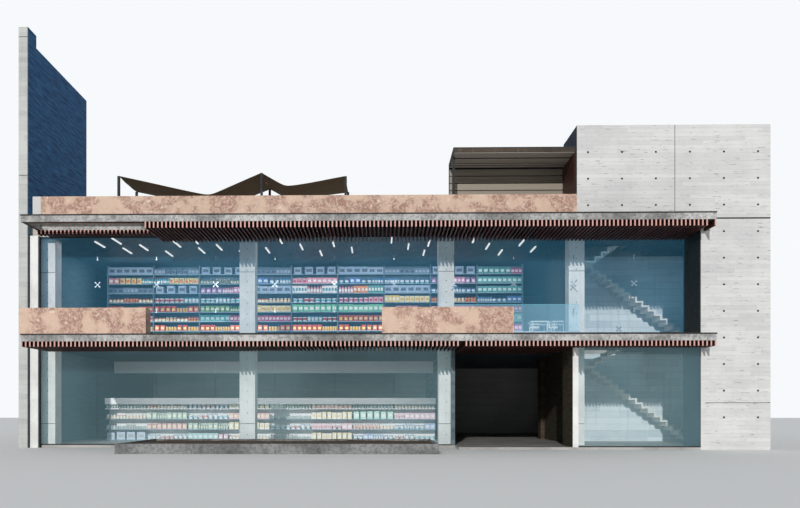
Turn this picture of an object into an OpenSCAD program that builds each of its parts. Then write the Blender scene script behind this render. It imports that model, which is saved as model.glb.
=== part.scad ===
// Small two-storey supermarket in board-marked concrete, with slatted canopies over its glass front.
// Width runs along X, the street front faces -Y and Z is up. The origin is on the ground,
// in the middle of the plan.

/* [Overall] */
// Width from the tall wall on the left to the tower's right side
overall_w = 29920; // [24000:10:36000]
// Depth from the front planter to the rear wall
overall_d = 22750; // [18000:10:28000]
// Height from one floor to the next
storey_h = 4584; // [3800:1:5500]
// Height of the ground floor above the ground
ground_floor_z = 100; // [50:10:300]

/* [Walls] */
// Thickness of the tall wall on the left
tall_wall_t = 385; // [250:5:500]
// Height of the tall wall at the street
tall_wall_h = 17240; // [14000:10:21000]
// Depth of the tall wall's raised front part
tall_front_d = 800; // [400:10:1500]
// Step down behind the raised front part
tall_step = 520; // [200:10:900]
// Length of the tall wall from front to back
tall_wall_len = 6500; // [4500:10:7800]
// Thickness of the other outer walls
outer_wall_t = 250; // [180:5:300]
// Thickness of the inner walls
inner_wall_t = 200; // [120:5:240]
// Height of the parapets around the roof above the roof floor
parapet_h = 740; // [400:10:1200]

/* [Tower] */
// Width of the tower above the canopy
tower_w = 7460; // [6500:10:9000]
// Width of the tower's strip that comes down to the ground
strip_w = 2680; // [2200:10:3200]
// Height of the tower's top above the ground
tower_h = 12620; // [12200:10:15000]
// Thickness of the tower's front wall
tower_front_t = 300; // [200:10:400]
// Depth of the high part of the tower
tower_d = 2300; // [1800:10:2600]
// Height of the stair head's room above the roof floor
stair_head_h = 2440; // [2200:10:3000]

/* [Slabs] */
// Thickness of the first floor with its beams
floor_t = 521; // [420:1:620]
// Thickness of the roof with its beams
roof_t = 560; // [450:1:700]

/* [Canopies] */
// How far the canopies reach out in front of the tower
canopy_out = 1040; // [800:10:1250]
// How far the glass is set back behind the tower's face
glass_back = 1660; // [1300:10:2000]
// Distance from the left side of the building to the canopies' left end
canopy_left = 1130; // [900:10:1400]
// How far the canopies lap over the tower's strip
canopy_lap = 180; // [80:10:400]
// Thickness of a canopy's concrete
canopy_t = 245; // [180:1:300]
// Thickness of the metal cap along a canopy
cap_t = 46; // [20:1:80]
// Depth of the metal cap from front to back
cap_d = 680; // [300:10:900]
// Length of the open slot at the left of the upper canopy
slot_len = 4700; // [3000:10:5600]
// Width of the beam in front of the slot
slot_beam = 240; // [150:10:400]
// Front of the set-back beam behind the slot, from the canopy's front
slot_back = 1390; // [900:10:1600]
// Width of a joint in the concrete
groove_w = 22; // [10:1:40]
// Depth of a joint in the concrete
groove_d = 14; // [6:1:25]

/* [Slats] */
// Distance from slat to slat under the upper canopy
upper_pitch = 158; // [120:1:240]
// Distance from slat to slat under the lower canopy
lower_pitch = 158; // [120:1:240]
// Thickness of one slat
slat_t = 54; // [30:1:70]
// Height of an upper slat
upper_slat_h = 235; // [150:1:280]
// Height of a lower slat
lower_slat_h = 200; // [150:1:280]
// Height of a slat behind the slot
slot_slat_h = 150; // [100:1:235]
// Length of a slat behind the slot
slot_slat_l = 460; // [250:10:900]
// How far the slats run on into the garage behind the glass line
garage_slats_d = 1700; // [1000:10:4000]

/* [Columns] */
// Side of a square column
column_w = 650; // [450:10:750]
// Distance from the glass to the columns behind it
column_gap = 390; // [250:10:500]
// Middle of the left column from the left side of the building
column_left = 860; // [860:10:1200]
// Middle of the second column from the left side of the building
column_second = 9260; // [7500:10:10500]
// Middle of the column by the garage, left of the tower's left side
column_garage = 4905; // [4700:10:5600]
// Middle of the column by the stair, right of the tower's left side
column_stair = 485; // [400:10:520]

/* [Glass] */
// Thickness of the glass
glass_t = 12; // [8:1:24]
// Width of one pane
pane_w = 2455; // [1800:5:3200]
// Width of the last pane beside the tower's strip
last_pane = 2045; // [1400:5:2465]
// Gap between two panes
pane_gap = 12; // [6:1:30]
// Length of an arm of a glass fitting
spider_arm = 150; // [90:5:220]
// Height of the glass guard upstairs
guard_h = 1210; // [900:10:1300]

/* [Planters] */
// Thickness of a planter's sides
planter_t = 80; // [50:5:120]
// Height of the long roof planter
roof_planter_h = 1000; // [700:10:1200]
// Depth of the long roof planter
roof_planter_d = 620; // [450:10:900]
// Length of the pale block at the roof planter's left end
end_block_l = 320; // [200:10:500]
// Height of the planters on the lower canopy
low_planter_h = 985; // [600:10:1100]
// Depth of the planters on the lower canopy
low_planter_d = 640; // [450:10:660]
// Length of the left planter on the lower canopy
left_planter_l = 4850; // [3500:10:5200]
// Length of the right planter on the lower canopy
right_planter_l = 4960; // [3500:10:5500]
// Left end of the right planter, left of the tower's left side
right_planter_x = 7580; // [6500:10:9500]
// How far the planter on the ground stands in front of the canopies
planter_lead = 2200; // [60:10:3000]
// Height of the planter on the ground
ground_planter_h = 360; // [250:10:600]
// Thickness of the walls of the planter on the ground
ground_planter_t = 120; // [80:10:200]
// Length of the planter on the ground
ground_planter_l = 11400; // [8000:10:12500]
// Right end of the planter on the ground, left of the tower's left side
ground_planter_x = 5600; // [4700:10:6500]

/* [Stairs] */
// Depth of a tread
tread = 280; // [250:1:320]
// Number of risers in a storey
risers = 23; // [20:1:26]
// Number of risers from the half landing up to the next floor
top_risers = 6; // [5:1:8]
// Thickness of the folded concrete plate
plate_t = 80; // [60:1:120]
// Width of a flight
flight_w = 1150; // [1000:10:1200]
// Gap between the two flights
flight_gap = 100; // [60:10:200]
// Length of the half landing
landing_l = 980; // [900:10:1200]
// Distance from the glass to the near flight
stair_back = 2190; // [2000:10:2500]

/* [Roof terrace] */
// Length of the pavilion beside the tower
pavilion_l = 4780; // [3500:10:6000]
// Depth of the pavilion's roof
pavilion_d = 2220; // [1800:10:2900]
// Height of the pavilion's roof above the roof floor
pavilion_h = 2530; // [2200:10:3000]
// Thickness of the pavilion's roof
pavilion_t = 150; // [100:10:250]
// Side of a post on the roof
post_w = 100; // [60:5:150]
// Thickness of a shade sail
sail_t = 20; // [12:1:40]
// Depth of a shade sail
sail_d = 2600; // [1800:10:3000]

/* [Shop] */
// Length of one bay of the tall shelving
shelf_bay = 2260; // [1800:10:2800]
// Depth of the shelving
shelf_d = 600; // [400:10:800]
// Height from shelf to shelf
shelf_pitch = 460; // [350:5:560]
// Height of the low shelving on the ground floor
low_shelf_h = 2020; // [1500:10:2300]
// Length of a ceiling light
light_l = 1200; // [800:10:1500]

/* [Hidden] */
$fn = 8;
half_w = overall_w / 2;
half_d = overall_d / 2;
left_in = -half_w + tall_wall_t;
right_in = half_w - outer_wall_t;
rear_in = half_d - outer_wall_t;

ground_z = ground_floor_z;
first_z = ground_z + storey_h;
roof_z = first_z + storey_h;
first_under = first_z - floor_t;
roof_under = roof_z - roof_t;
parapet_z = roof_z + parapet_h;

cap_lap = 20;
slab_lead = 60;
canopy_y = -half_d + planter_lead;
tower_y = canopy_y + canopy_out;
glass_y = tower_y + glass_back;
slab_y = glass_y - slab_lead;
canopy_x0 = -half_w + canopy_left;
tower_x = half_w - tower_w;
strip_x = half_w - strip_w;
canopy_x1 = strip_x + canopy_lap;
slot_x1 = canopy_x0 + slot_len;
slot_side = 150;

tall_y = glass_y - 410;
pier_y = glass_y - 310;
pier_joint = 45;
pier_w = 325;
pier_x0 = left_in + pier_joint;
pier_x1 = pier_x0 + pier_w;
mullion_w = 30;
mullion_y = pier_y + 90;
glass_x0 = pier_x1 + mullion_w;

column_y = glass_y + column_gap;
column_back = column_y + column_w;
columns_x = [
    column_left - half_w,
    column_second - half_w,
    tower_x - column_garage,
    tower_x + column_stair
];
garage_x = columns_x[2] + column_w / 2;

stair_wall_gap = 520;
stair_wall_x = tower_x + stair_wall_gap;
stair_x = stair_wall_x + inner_wall_t;
riser = storey_h / risers;
low_risers = risers - top_risers;
near_y = glass_y + stair_back;
far_y = near_y + flight_w + flight_gap;
stair_end_y = far_y + flight_w;
stair_wall_back = stair_end_y + inner_wall_t;
landing_x = stair_x + landing_l;
near_end_x = landing_x + (top_risers - 1) * tread;
far_x = landing_x + tread;
// The opening upstairs reaches over this many treads of the far flight
open_treads = 9;
far_open_x = far_x + open_treads * tread;
garage_wall_end = stair_end_y + 3200;
pilaster_l = 700;

tower_in = tower_y + tower_front_t;
return_y = glass_y + 160;
garage_pier_x0 = tower_x - 160;
garage_pier_x1 = tower_x + 60;
garage_pier_back = glass_y + 90;
garage_jamb_w = 150;
lobby_glass_in = 40;
least_pane = 300;
trim_t = 30;
slat_inset = 10;
slat_back = glass_y - slat_inset;
arm_w = 24;
foot_r = 30;
foot_h = 44;
lap = 1;

planter_rim_z = roof_under + canopy_t + roof_planter_h;
pavilion_wall_t = 120;
pavilion_cap_t = 45;
cladding_t = 40;
post_y = tower_y + roof_planter_d + 20;
pavilion_back = 150;
pavilion_y = tower_y + pavilion_back;
pavilion_x = tower_x - pavilion_l;
pavilion_z = roof_z + pavilion_h - pavilion_t;

// The sub-part to show, or all of them

concrete = [0.78, 0.77, 0.74];
pale = [0.86, 0.84, 0.80];
dark = [0.12, 0.12, 0.13];
timber = [0.42, 0.20, 0.15];
stone = [0.78, 0.62, 0.50];
tint = [0.45, 0.66, 0.76, 0.45];

// A block between two corners
module block(x0, x1, y0, y1, z0, z1) {
    translate([x0, y0, z0]) cube([x1 - x0, y1 - y0, z1 - z0]);
}

// A wall drawn in X and Z that runs from y0 to y1
module wall_xz(points, y0, y1) {
    translate([0, y1, 0]) rotate([90, 0, 0]) linear_extrude(y1 - y0) polygon(points);
}

// A wall drawn in Y and Z that runs from x0 to x1
module wall_yz(points, x0, x1) {
    translate([x0, 0, 0]) rotate([90, 0, 90]) linear_extrude(x1 - x0) polygon(points);
}

// A plate drawn in X and Y that runs from z0 to z1
module plate(points, z0, z1) {
    translate([0, 0, z0]) linear_extrude(z1 - z0) polygon(points);
}

// An open trough with a floor
module trough(x0, x1, y0, y1, z0, z1, t) {
    difference() {
        block(x0, x1, y0, y1, z0, z1);
        block(x0 + t, x1 - t, y0 + t, y1 - t, z0 + t, z1 + 1);
    }
}

// Slats side by side from x0 to x1, all on one grid that starts at the canopy's left end
module slats(x0, x1, y1, z1, h, pitch, y0 = canopy_y + slat_inset) {
    first = ceil((x0 - canopy_x0) / pitch);
    last = floor((x1 - slat_t - canopy_x0) / pitch);
    for (i = [first:last]) {
        x = canopy_x0 + i * pitch;
        block(x, x + slat_t, y0, y1, z1 - h, z1);
    }
}

// Joints between the panes from x0 to x1, counted from the tower's strip to the left
function joints(x0, x1) = [
    for (k = [floor((strip_x - x0) / pane_w):-1:0])
        let (x = strip_x - last_pane - k * pane_w)
        if (x > x0 + least_pane && x < x1 - least_pane) x
];

// Glass panes side by side from x0 to x1
module panes(x0, x1, y, z0, z1) {
    inner = joints(x0, x1);
    starts = concat([x0], [for (x = inner) x + pane_gap / 2]);
    ends = concat([for (x = inner) x - pane_gap / 2], [x1]);
    for (i = [0:len(starts) - 1]) {
        block(starts[i], ends[i], y, y + glass_t, z0, z1);
    }
}

// Right part of a slab's outline, around the return of the tower's strip
slab_right = [
    [strip_x, return_y], [strip_x + outer_wall_t, return_y], [strip_x + outer_wall_t, tower_in],
    [right_in, tower_in], [right_in, rear_in], [left_in, rear_in], [left_in, slab_y]
];

module ground_slab() {
    color(concrete)
    plate(concat([[garage_x, slab_y], [garage_x, tower_y], [strip_x, tower_y]], slab_right), 0, ground_z);
}

// Plan of an upper slab
function slab_plan() = concat([[strip_x, slab_y]], slab_right);

module stair_opening(z0, z1) {
    block(stair_x, near_end_x, near_y, far_y + 1, z0, z1);
    block(stair_x, far_open_x, far_y - flight_gap, stair_end_y, z0, z1);
}

module first_floor_slab() {
    color(concrete)
    difference() {
        plate(slab_plan(), first_under, first_z);
        stair_opening(first_under - 1, first_z + 1);
    }
}

module roof_slab() {
    color(concrete)
    difference() {
        plate(slab_plan(), roof_under, roof_z);
        stair_opening(roof_under - 1, roof_z + 1);
    }
}

// Level joints across the tall wall's front, each this far below its top
tall_joints = [410, 6090];
tall_joint_y = tall_y + tall_wall_len * 0.46;

module tall_left_wall() {
    color(concrete)
    difference() {
        wall_yz([
            [tall_y, 0], [rear_in, 0], [rear_in, parapet_z], [tall_y + tall_wall_len, parapet_z],
            [tall_y + tall_wall_len, tall_wall_h - tall_step],
            [tall_y + tall_front_d, tall_wall_h - tall_step],
            [tall_y + tall_front_d, tall_wall_h], [tall_y, tall_wall_h]
        ], -half_w, left_in);
        for (drop = tall_joints) {
            z = tall_wall_h - drop;
            block(-half_w - 1, left_in + 1, tall_y - 1, tall_y + groove_d, z, z + groove_w);
        }
        block(left_in - groove_d, left_in + 1, tall_joint_y, tall_joint_y + groove_w, parapet_z, tall_wall_h);
    }
}

module left_pier() {
    color(pale) {
        block(pier_x0, pier_x1, pier_y, slab_y, 0, roof_under);
    }
}

module dark_metal_trim() {
    color(dark) {
        block(left_in, pier_x0, pier_y, slab_y, 0, roof_under);
        block(pier_x1, glass_x0, mullion_y, slab_y, 0, roof_under);
        block(strip_x - trim_t, strip_x, tower_y + trim_t, slab_y, first_under + canopy_t, roof_under);
        block(pavilion_x, tower_x, pavilion_y, pavilion_y + pavilion_d,
            pavilion_z + pavilion_t, pavilion_z + pavilion_t + pavilion_cap_t);
    }
}

module right_wall() {
    color(concrete)
    wall_yz([
        [tower_y + tower_front_t, 0], [rear_in, 0], [rear_in, parapet_z], [stair_wall_back, parapet_z],
        [stair_wall_back, roof_z + stair_head_h], [tower_y + tower_d, roof_z + stair_head_h],
        [tower_y + tower_d, tower_h], [tower_y + tower_front_t, tower_h]
    ], right_in, half_w);
}

window_w = 2400;
window_h = 1200;
window_sill = 1500;
window_count = 5;
window_pitch = (right_in - left_in) / window_count;

// The space of one rear window upstairs, from y0 to y1
module window(i, y0, y1) {
    x = left_in + (i + 0.5) * window_pitch;
    z = first_z + window_sill;
    block(x - window_w / 2, x + window_w / 2, y0, y1, z, z + window_h);
}

module rear_wall() {
    color(concrete)
    difference() {
        block(-half_w, half_w, rear_in, half_d, 0, parapet_z);
        for (i = [0:window_count - 1]) {
            window(i, rear_in - 1, half_d + 1);
        }
    }
}

module rear_windows() {
    color(tint)
    for (i = [0:window_count - 1]) {
        window(i, rear_in + outer_wall_t / 2, rear_in + outer_wall_t / 2 + glass_t);
    }
}

// The tower's upright joint in the middle of its front, and its level joints
tower_joint_x = tower_x + tower_w * 0.5055;
tower_joints = [1820, roof_under + canopy_t + cap_t - groove_w];

module tower_front_wall() {
    color(concrete) {
        difference() {
            wall_xz([
                [strip_x, 0], [half_w, 0], [half_w, tower_h], [tower_x, tower_h],
                [tower_x, roof_under + canopy_t], [strip_x, roof_under + canopy_t]
            ], tower_y, tower_y + tower_front_t);
            for (z = tower_joints) {
                block(canopy_x1, half_w + 1, tower_y - 1, tower_y + groove_d, z, z + groove_w);
            }
            block(tower_joint_x, tower_joint_x + groove_w, tower_y - 1, tower_y + groove_d,
                roof_under + canopy_t + cap_t, tower_h + 1);
        }
        block(strip_x, strip_x + outer_wall_t, tower_in, return_y, 0, roof_under + canopy_t);
    }
}

head_door_w = 1000;
head_door_h = 2100;
head_door_x = right_in - 2600;

module tower_side_walls() {
    color(concrete) {
        wall_yz([
            [tower_y + tower_front_t, roof_under + canopy_t], [slab_y, roof_under + canopy_t],
            [slab_y, roof_z], [stair_wall_back, roof_z], [stair_wall_back, roof_z + stair_head_h],
            [tower_y + tower_d, roof_z + stair_head_h], [tower_y + tower_d, tower_h],
            [tower_y + tower_front_t, tower_h]
        ], tower_x, tower_x + outer_wall_t);
        block(tower_x + outer_wall_t, right_in, tower_y + tower_d - outer_wall_t, tower_y + tower_d,
            roof_z + stair_head_h, tower_h);
        difference() {
            block(tower_x + outer_wall_t, right_in, stair_end_y, stair_wall_back,
                roof_z, roof_z + stair_head_h);
            block(head_door_x, head_door_x + head_door_w, stair_end_y - 1, stair_wall_back + 1,
                roof_z - 1, roof_z + head_door_h);
        }
    }
}

tower_roof_t = 200;
tower_roof_drop = 300;

module tower_roof() {
    color(concrete) {
        block(tower_x + outer_wall_t, right_in, tower_y + tower_front_t, tower_y + tower_d - outer_wall_t,
            tower_h - tower_roof_drop - tower_roof_t, tower_h - tower_roof_drop);
        block(tower_x, half_w, tower_y + tower_d, stair_wall_back,
            roof_z + stair_head_h, roof_z + stair_head_h + pavilion_t);
    }
}

// A canopy's plate with the part in front of the tower's strip
module canopy_plate(z0) {
    plate([
        [canopy_x0, canopy_y], [canopy_x1, canopy_y], [canopy_x1, tower_y], [strip_x, tower_y],
        [strip_x, slab_y], [canopy_x0, slab_y]
    ], z0, z0 + canopy_t);
}

module canopy_cap(z0) {
    block(canopy_x0 - cap_lap, canopy_x1 + cap_lap, canopy_y - cap_lap, canopy_y + cap_d, z0, z0 + cap_t);
}

module upper_canopy() {
    color(concrete)
    difference() {
        canopy_plate(roof_under);
        block(canopy_x0 + slot_side, slot_x1, canopy_y + slot_beam, canopy_y + slot_back,
            roof_under - 1, roof_under + canopy_t + 1);
    }
}

module upper_canopy_cap() {
    color(dark)
    difference() {
        canopy_cap(roof_under + canopy_t);
        block(canopy_x0 + slot_side, slot_x1, canopy_y + slot_beam, canopy_y + slot_back,
            roof_under, roof_under + canopy_t + cap_t + 1);
    }
}

module upper_slats() {
    color(timber) {
        slats(slot_x1, strip_x - trim_t, slat_back, roof_under, upper_slat_h, upper_pitch);
        slats(strip_x - trim_t, canopy_x1, tower_y - slat_inset, roof_under, upper_slat_h, upper_pitch);
    }
}

module slot_slats() {
    color(timber)
    slats(canopy_x0, slot_x1, canopy_y + slot_back + slot_slat_l, roof_under, slot_slat_h, upper_pitch,
        canopy_y + slot_back);
}

module lower_canopy() {
    color(concrete)
    canopy_plate(first_under);
}

module lower_canopy_cap() {
    color(dark)
    canopy_cap(first_under + canopy_t);
}

module lower_slats() {
    color(timber) {
        slats(canopy_x0, garage_x, slat_back, first_under, lower_slat_h, lower_pitch);
        slats(garage_pier_x0, canopy_x1, tower_y - slat_inset, first_under, lower_slat_h, lower_pitch);
    }
}

module garage_slats() {
    color(timber)
    slats(garage_x, garage_pier_x0, glass_y + garage_slats_d, first_under, lower_slat_h, lower_pitch);
}

// The joint around the columns of each storey, above its floor
ground_joint = 870;
upper_joint = 2620;

// The columns of one storey, each with a joint all round it
module columns(z0, z1, joint_z) {
    for (x = columns_x) {
        x0 = x - column_w / 2;
        x1 = x + column_w / 2;
        difference() {
            block(x0, x1, column_y, column_back, z0, z1);
            difference() {
                block(x0 - 1, x1 + 1, column_y - 1, column_back + 1, joint_z, joint_z + groove_w);
                block(x0 + groove_d, x1 - groove_d, column_y + groove_d, column_back - groove_d,
                    joint_z - 1, joint_z + groove_w + 1);
            }
        }
    }
}

module ground_columns() {
    color(pale) columns(ground_z, first_under, ground_z + ground_joint);
}

module upper_columns() {
    color(pale) columns(first_z, roof_under, first_z + upper_joint);
}

module shop_glass() {
    color(tint) panes(left_in, garage_x - garage_jamb_w, glass_y, ground_z, first_under);
}

module lobby_glass() {
    color(tint) panes(garage_pier_x1, strip_x, tower_y + lobby_glass_in, ground_z, first_under);
}

module upper_glass() {
    color(tint) panes(left_in, strip_x, glass_y, first_z, roof_under);
}

// Crossed arms on the glass, with a round foot at each end
module spider(x, z) {
    translate([x, glass_y + glass_t, z]) {
        for (a = [45, -45]) {
            rotate([0, a, 0])
            block(-spider_arm, spider_arm, foot_h - arm_w, foot_h, -arm_w / 2, arm_w / 2);
        }
        for (a = [45:90:315]) {
            rotate([0, a, 0])
            translate([spider_arm - foot_r, 0, 0])
            rotate([-90, 0, 0])
            cylinder(r = foot_r, h = foot_h);
        }
    }
}

pair_gap = 110;
pair_rise = 1090;

// Two round feet one over the other, with a bar between them
module foot_pair(x, z) {
    translate([x, glass_y + glass_t, z]) {
        for (side = [-1, 1]) {
            translate([0, 0, side * pair_gap / 2]) rotate([-90, 0, 0]) cylinder(r = foot_r, h = foot_h);
        }
        block(-arm_w / 2, arm_w / 2, foot_h - arm_w, foot_h, -pair_gap / 2, pair_gap / 2);
    }
}

module glass_fittings() {
    middle = first_z + (roof_under - first_z) * 0.51;
    color([0.8, 0.82, 0.84])
    for (x = joints(left_in, strip_x)) {
        spider(x, middle);
        foot_pair(x, middle - pair_rise);
        foot_pair(x, middle + pair_rise);
    }
}

guard_y = glass_y + 150;
guard_joint = tower_x - 750;
guard_x1 = tower_x + 560;

module glass_guard() {
    color(tint) {
        block(garage_x, guard_joint - pane_gap / 2, guard_y, guard_y + glass_t, first_z, first_z + guard_h);
        block(guard_joint + pane_gap / 2, guard_x1, guard_y, guard_y + glass_t, first_z, first_z + guard_h);
    }
}

module roof_planter() {
    color(stone)
    trough(canopy_x0 + end_block_l, tower_x, tower_y, tower_y + roof_planter_d,
        roof_under + canopy_t, roof_under + canopy_t + roof_planter_h, planter_t);
    color(pale)
    block(canopy_x0, canopy_x0 + end_block_l, tower_y, tower_y + roof_planter_d,
        roof_under + canopy_t, roof_under + canopy_t + roof_planter_h);
}

left_planter_x = canopy_x0 - 70;

module canopy_planters() {
    color(stone) {
        trough(left_planter_x, left_planter_x + left_planter_l, canopy_y, canopy_y + low_planter_d,
            first_under + canopy_t + cap_t, first_under + canopy_t + cap_t + low_planter_h, planter_t);
        trough(tower_x - right_planter_x, tower_x - right_planter_x + right_planter_l,
            canopy_y, canopy_y + low_planter_d,
            first_under + canopy_t + cap_t, first_under + canopy_t + cap_t + low_planter_h, planter_t);
    }
}

module ground_planter() {
    color([0.3, 0.3, 0.31])
    trough(tower_x - ground_planter_x - ground_planter_l, tower_x - ground_planter_x,
        -half_d, slab_y, 0, ground_planter_h, ground_planter_t);
}

module garage_left_wall() {
    color(concrete) {
        block(garage_x - outer_wall_t, garage_x, column_back, rear_in, ground_z, first_under);
        block(garage_x - garage_jamb_w, garage_x, slat_back, column_y, ground_z, first_under);
    }
}

module garage_front_pier() {
    color(pale)
    block(garage_pier_x0, garage_pier_x1, tower_y, garage_pier_back, ground_z, first_under);
}

module stair_side_wall() {
    color(concrete) {
        block(stair_wall_x, stair_x, column_back, garage_wall_end, ground_z, first_under);
        block(stair_wall_x - inner_wall_t, stair_wall_x, garage_wall_end - pilaster_l, garage_wall_end,
            ground_z, first_under);
        block(stair_wall_x, stair_x, column_back, garage_wall_end, first_z, roof_under);
    }
}

module stair_back_wall() {
    color(concrete) {
        block(stair_x, right_in, stair_end_y, stair_wall_back, ground_z, first_under);
        block(stair_x, right_in, stair_end_y, stair_wall_back, first_z, roof_under);
    }
}

// One storey of stair: long far flight, half landing and short near flight
module stair(z0) {
    landing_z = z0 + low_risers * riser;
    color(pale) {
        // The far flight climbs to the left
        translate([far_x, stair_end_y, z0])
        rotate([90, 0, 0])
        linear_extrude(flight_w)
        polygon(far_outline());
        // The landing carries both flights
        block(stair_x, landing_x, near_y, stair_end_y, landing_z - plate_t, landing_z);
        // The near flight climbs to the right
        translate([landing_x, near_y + flight_w, landing_z])
        rotate([90, 0, 0])
        linear_extrude(flight_w)
        polygon(near_outline());
    }
}

// The far flight as a zigzag plate, seen from the front, with its top riser at x = 0
function far_outline() = concat(
    [[-tread - lap, low_risers * riser], [0, low_risers * riser]],
    [for (i = [1:low_risers - 1]) each [
        [(i - 1) * tread, (low_risers - i) * riser], [i * tread, (low_risers - i) * riser]
    ]],
    [[(low_risers - 1) * tread, 0], [(low_risers - 1) * tread - plate_t, 0]],
    [for (i = [low_risers - 1:-1:1]) each [
        [i * tread - plate_t, (low_risers - i) * riser - plate_t],
        [(i - 1) * tread - plate_t, (low_risers - i) * riser - plate_t]
    ]],
    [[-plate_t, low_risers * riser - plate_t], [-tread - lap, low_risers * riser - plate_t]]
);

// The near flight as a zigzag plate, seen from the front, with its first riser at x = 0
function near_outline() = concat(
    [[-lap, -plate_t], [-lap, 0], [0, 0]],
    [for (i = [1:top_risers - 1]) each [[(i - 1) * tread, i * riser], [i * tread, i * riser]]],
    [[(top_risers - 1) * tread, (top_risers - 1) * riser - plate_t]],
    [for (i = [top_risers - 1:-1:1]) each [
        [(i - 1) * tread + plate_t, i * riser - plate_t],
        [(i - 1) * tread + plate_t, (i - 1) * riser - plate_t]
    ]]
);

module ground_stairs() {
    stair(ground_z);
}

module upper_stairs() {
    stair(first_z);
}

module pavilion_roof() {
    color([0.40, 0.36, 0.33])
    block(pavilion_x, tower_x, pavilion_y, pavilion_y + pavilion_d, pavilion_z, pavilion_z + pavilion_t);
}

module pavilion_walls() {
    color(timber) {
        block(pavilion_x, tower_x, pavilion_y + pavilion_d - pavilion_wall_t, pavilion_y + pavilion_d,
            roof_z, pavilion_z);
        block(tower_x - cladding_t, tower_x, pavilion_y, pavilion_y + pavilion_d - pavilion_wall_t,
            planter_rim_z, pavilion_z);
    }
}

// The sails' line seen from the front: crests on the posts and valleys between them
sail_x = canopy_x0 + 2400;
sail_y = glass_y + 1200;
sail_line = [
    [0, 2320], [post_w, 2320], [3950, 1480], [6150, 2420],
    [6150 + post_w, 2420], [7200, 1840], [9850 - post_w, 2260], [9850, 2260]
];

module shade_sails() {
    color([0.72, 0.62, 0.48])
    translate([sail_x, 0, roof_z])
    wall_xz(concat(
        sail_line,
        [for (i = [len(sail_line) - 1:-1:0]) sail_line[i] + [0, sail_t]]
    ), sail_y, sail_y + sail_d);
}

module roof_posts() {
    color(dark) {
        for (p = [sail_line[0], sail_line[3], sail_line[6]]) {
            for (y = [sail_y, sail_y + sail_d - post_w]) {
                block(sail_x + p[0], sail_x + p[0] + post_w, y, y + post_w, roof_z, roof_z + p[1]);
            }
        }
        block(pavilion_x, pavilion_x + post_w, post_y, post_y + post_w, roof_under + canopy_t, pavilion_z);
    }
}

shelf_x1 = stair_wall_x - 1240;
shelf_y = stair_end_y + 1500;
shelf_board = 40;
shelf_plinth = 290;
shelf_side_gap = 900;
shelf_set_in = 20;
shelf_levels = floor((roof_under - first_z - shelf_plinth) / shelf_pitch);
shelf_top_z = first_z + shelf_plinth + shelf_levels * shelf_pitch - 10;

module tall_shelving() {
    bays = floor((shelf_x1 - left_in - shelf_side_gap) / shelf_bay);
    x0 = shelf_x1 - bays * shelf_bay;
    back_y = shelf_y + shelf_d - shelf_board;
    color([0.75, 0.78, 0.80]) {
        block(x0, shelf_x1, back_y, shelf_y + shelf_d, first_z, shelf_top_z);
        for (i = [0:bays]) {
            x = i == bays ? shelf_x1 - shelf_board : x0 + i * shelf_bay;
            block(x, x + shelf_board, shelf_y, back_y + 1, first_z, shelf_top_z);
        }
        for (k = [0:shelf_levels - 1]) {
            z = first_z + shelf_plinth + k * shelf_pitch;
            block(x0, shelf_x1, shelf_y + shelf_set_in, back_y + 1, z - shelf_board, z);
        }
    }
}

low_shelf_x0 = left_in + 1260;
low_shelf_x1 = garage_x - outer_wall_t - 200;
low_shelf_y = stair_end_y + 500;
low_shelf_spaces = 4;
low_header_h = 300;
low_header_t = 20;

module low_shelving() {
    back_y = low_shelf_y + shelf_d;
    color([0.9, 0.9, 0.9]) {
        block(low_shelf_x0, low_shelf_x1, back_y, back_y + shelf_board, ground_z, ground_z + low_shelf_h);
        for (i = [0:low_shelf_spaces]) {
            z = ground_z + i * (low_shelf_h - shelf_board) / low_shelf_spaces;
            block(low_shelf_x0, low_shelf_x1, low_shelf_y, back_y, z, z + shelf_board);
        }
        block(low_shelf_x0, low_shelf_x1, low_shelf_y - low_header_t, low_shelf_y,
            ground_z + low_shelf_h - low_header_h, ground_z + low_shelf_h);
    }
}

bulkhead_y = stair_end_y + 5550;
bulkhead_h = 620;

module shop_bulkhead() {
    color(pale)
    block(left_in, garage_x - outer_wall_t, bulkhead_y, bulkhead_y + inner_wall_t,
        first_under - bulkhead_h, first_under);
}

module table(x, w, d) {
    h = 740;
    y = glass_y + 1990;
    top = 40;
    leg = 50;
    tray_z = first_z + h - 160;
    tray_t = 20;
    block(x, x + w, y, y + d, first_z + h - top, first_z + h);
    block(x + leg, x + w - leg, y + leg, y + d - leg, tray_z, tray_z + tray_t);
    for (lx = [x + leg, x + w - 2 * leg]) {
        for (ly = [y + leg, y + d - 2 * leg]) {
            block(lx, lx + leg, ly, ly + leg, first_z, first_z + h - top);
        }
    }
}

module chair(x) {
    y = glass_y + 2990;
    seat = 420;
    leg = 30;
    leg_h = 430;
    back_h = 400;
    seat_z = first_z + leg_h + leg;
    block(x, x + seat, y, y + seat, first_z + leg_h, seat_z);
    block(x, x + seat, y + seat - leg, y + seat, seat_z, seat_z + back_h);
    for (lx = [x, x + seat - leg]) {
        for (ly = [y, y + seat - leg]) {
            block(lx, lx + leg, ly, ly + leg, first_z, first_z + leg_h);
        }
    }
}

module tables_and_chairs() {
    color([0.92, 0.92, 0.92]) {
        table(tower_x - 1100, 790, 800);
        table(tower_x - 160, 560, 800);
        chair(tower_x - 900);
        chair(tower_x - 60);
    }
}

light_w = 60;
light_t = 45;

// Where the lights of a row start, as shares of the width from the tall wall to the stair
even_lights = [0.144, 0.291, 0.451, 0.658, 0.811];
odd_lights = [0.102, 0.25, 0.381, 0.548, 0.729, 0.904];

// True where a light that starts at x passes beside all the columns
function passes_columns(x) =
    len([for (c = columns_x) if (abs(x + light_w / 2 - c) < column_w / 2 + light_w) c]) == 0;

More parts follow.
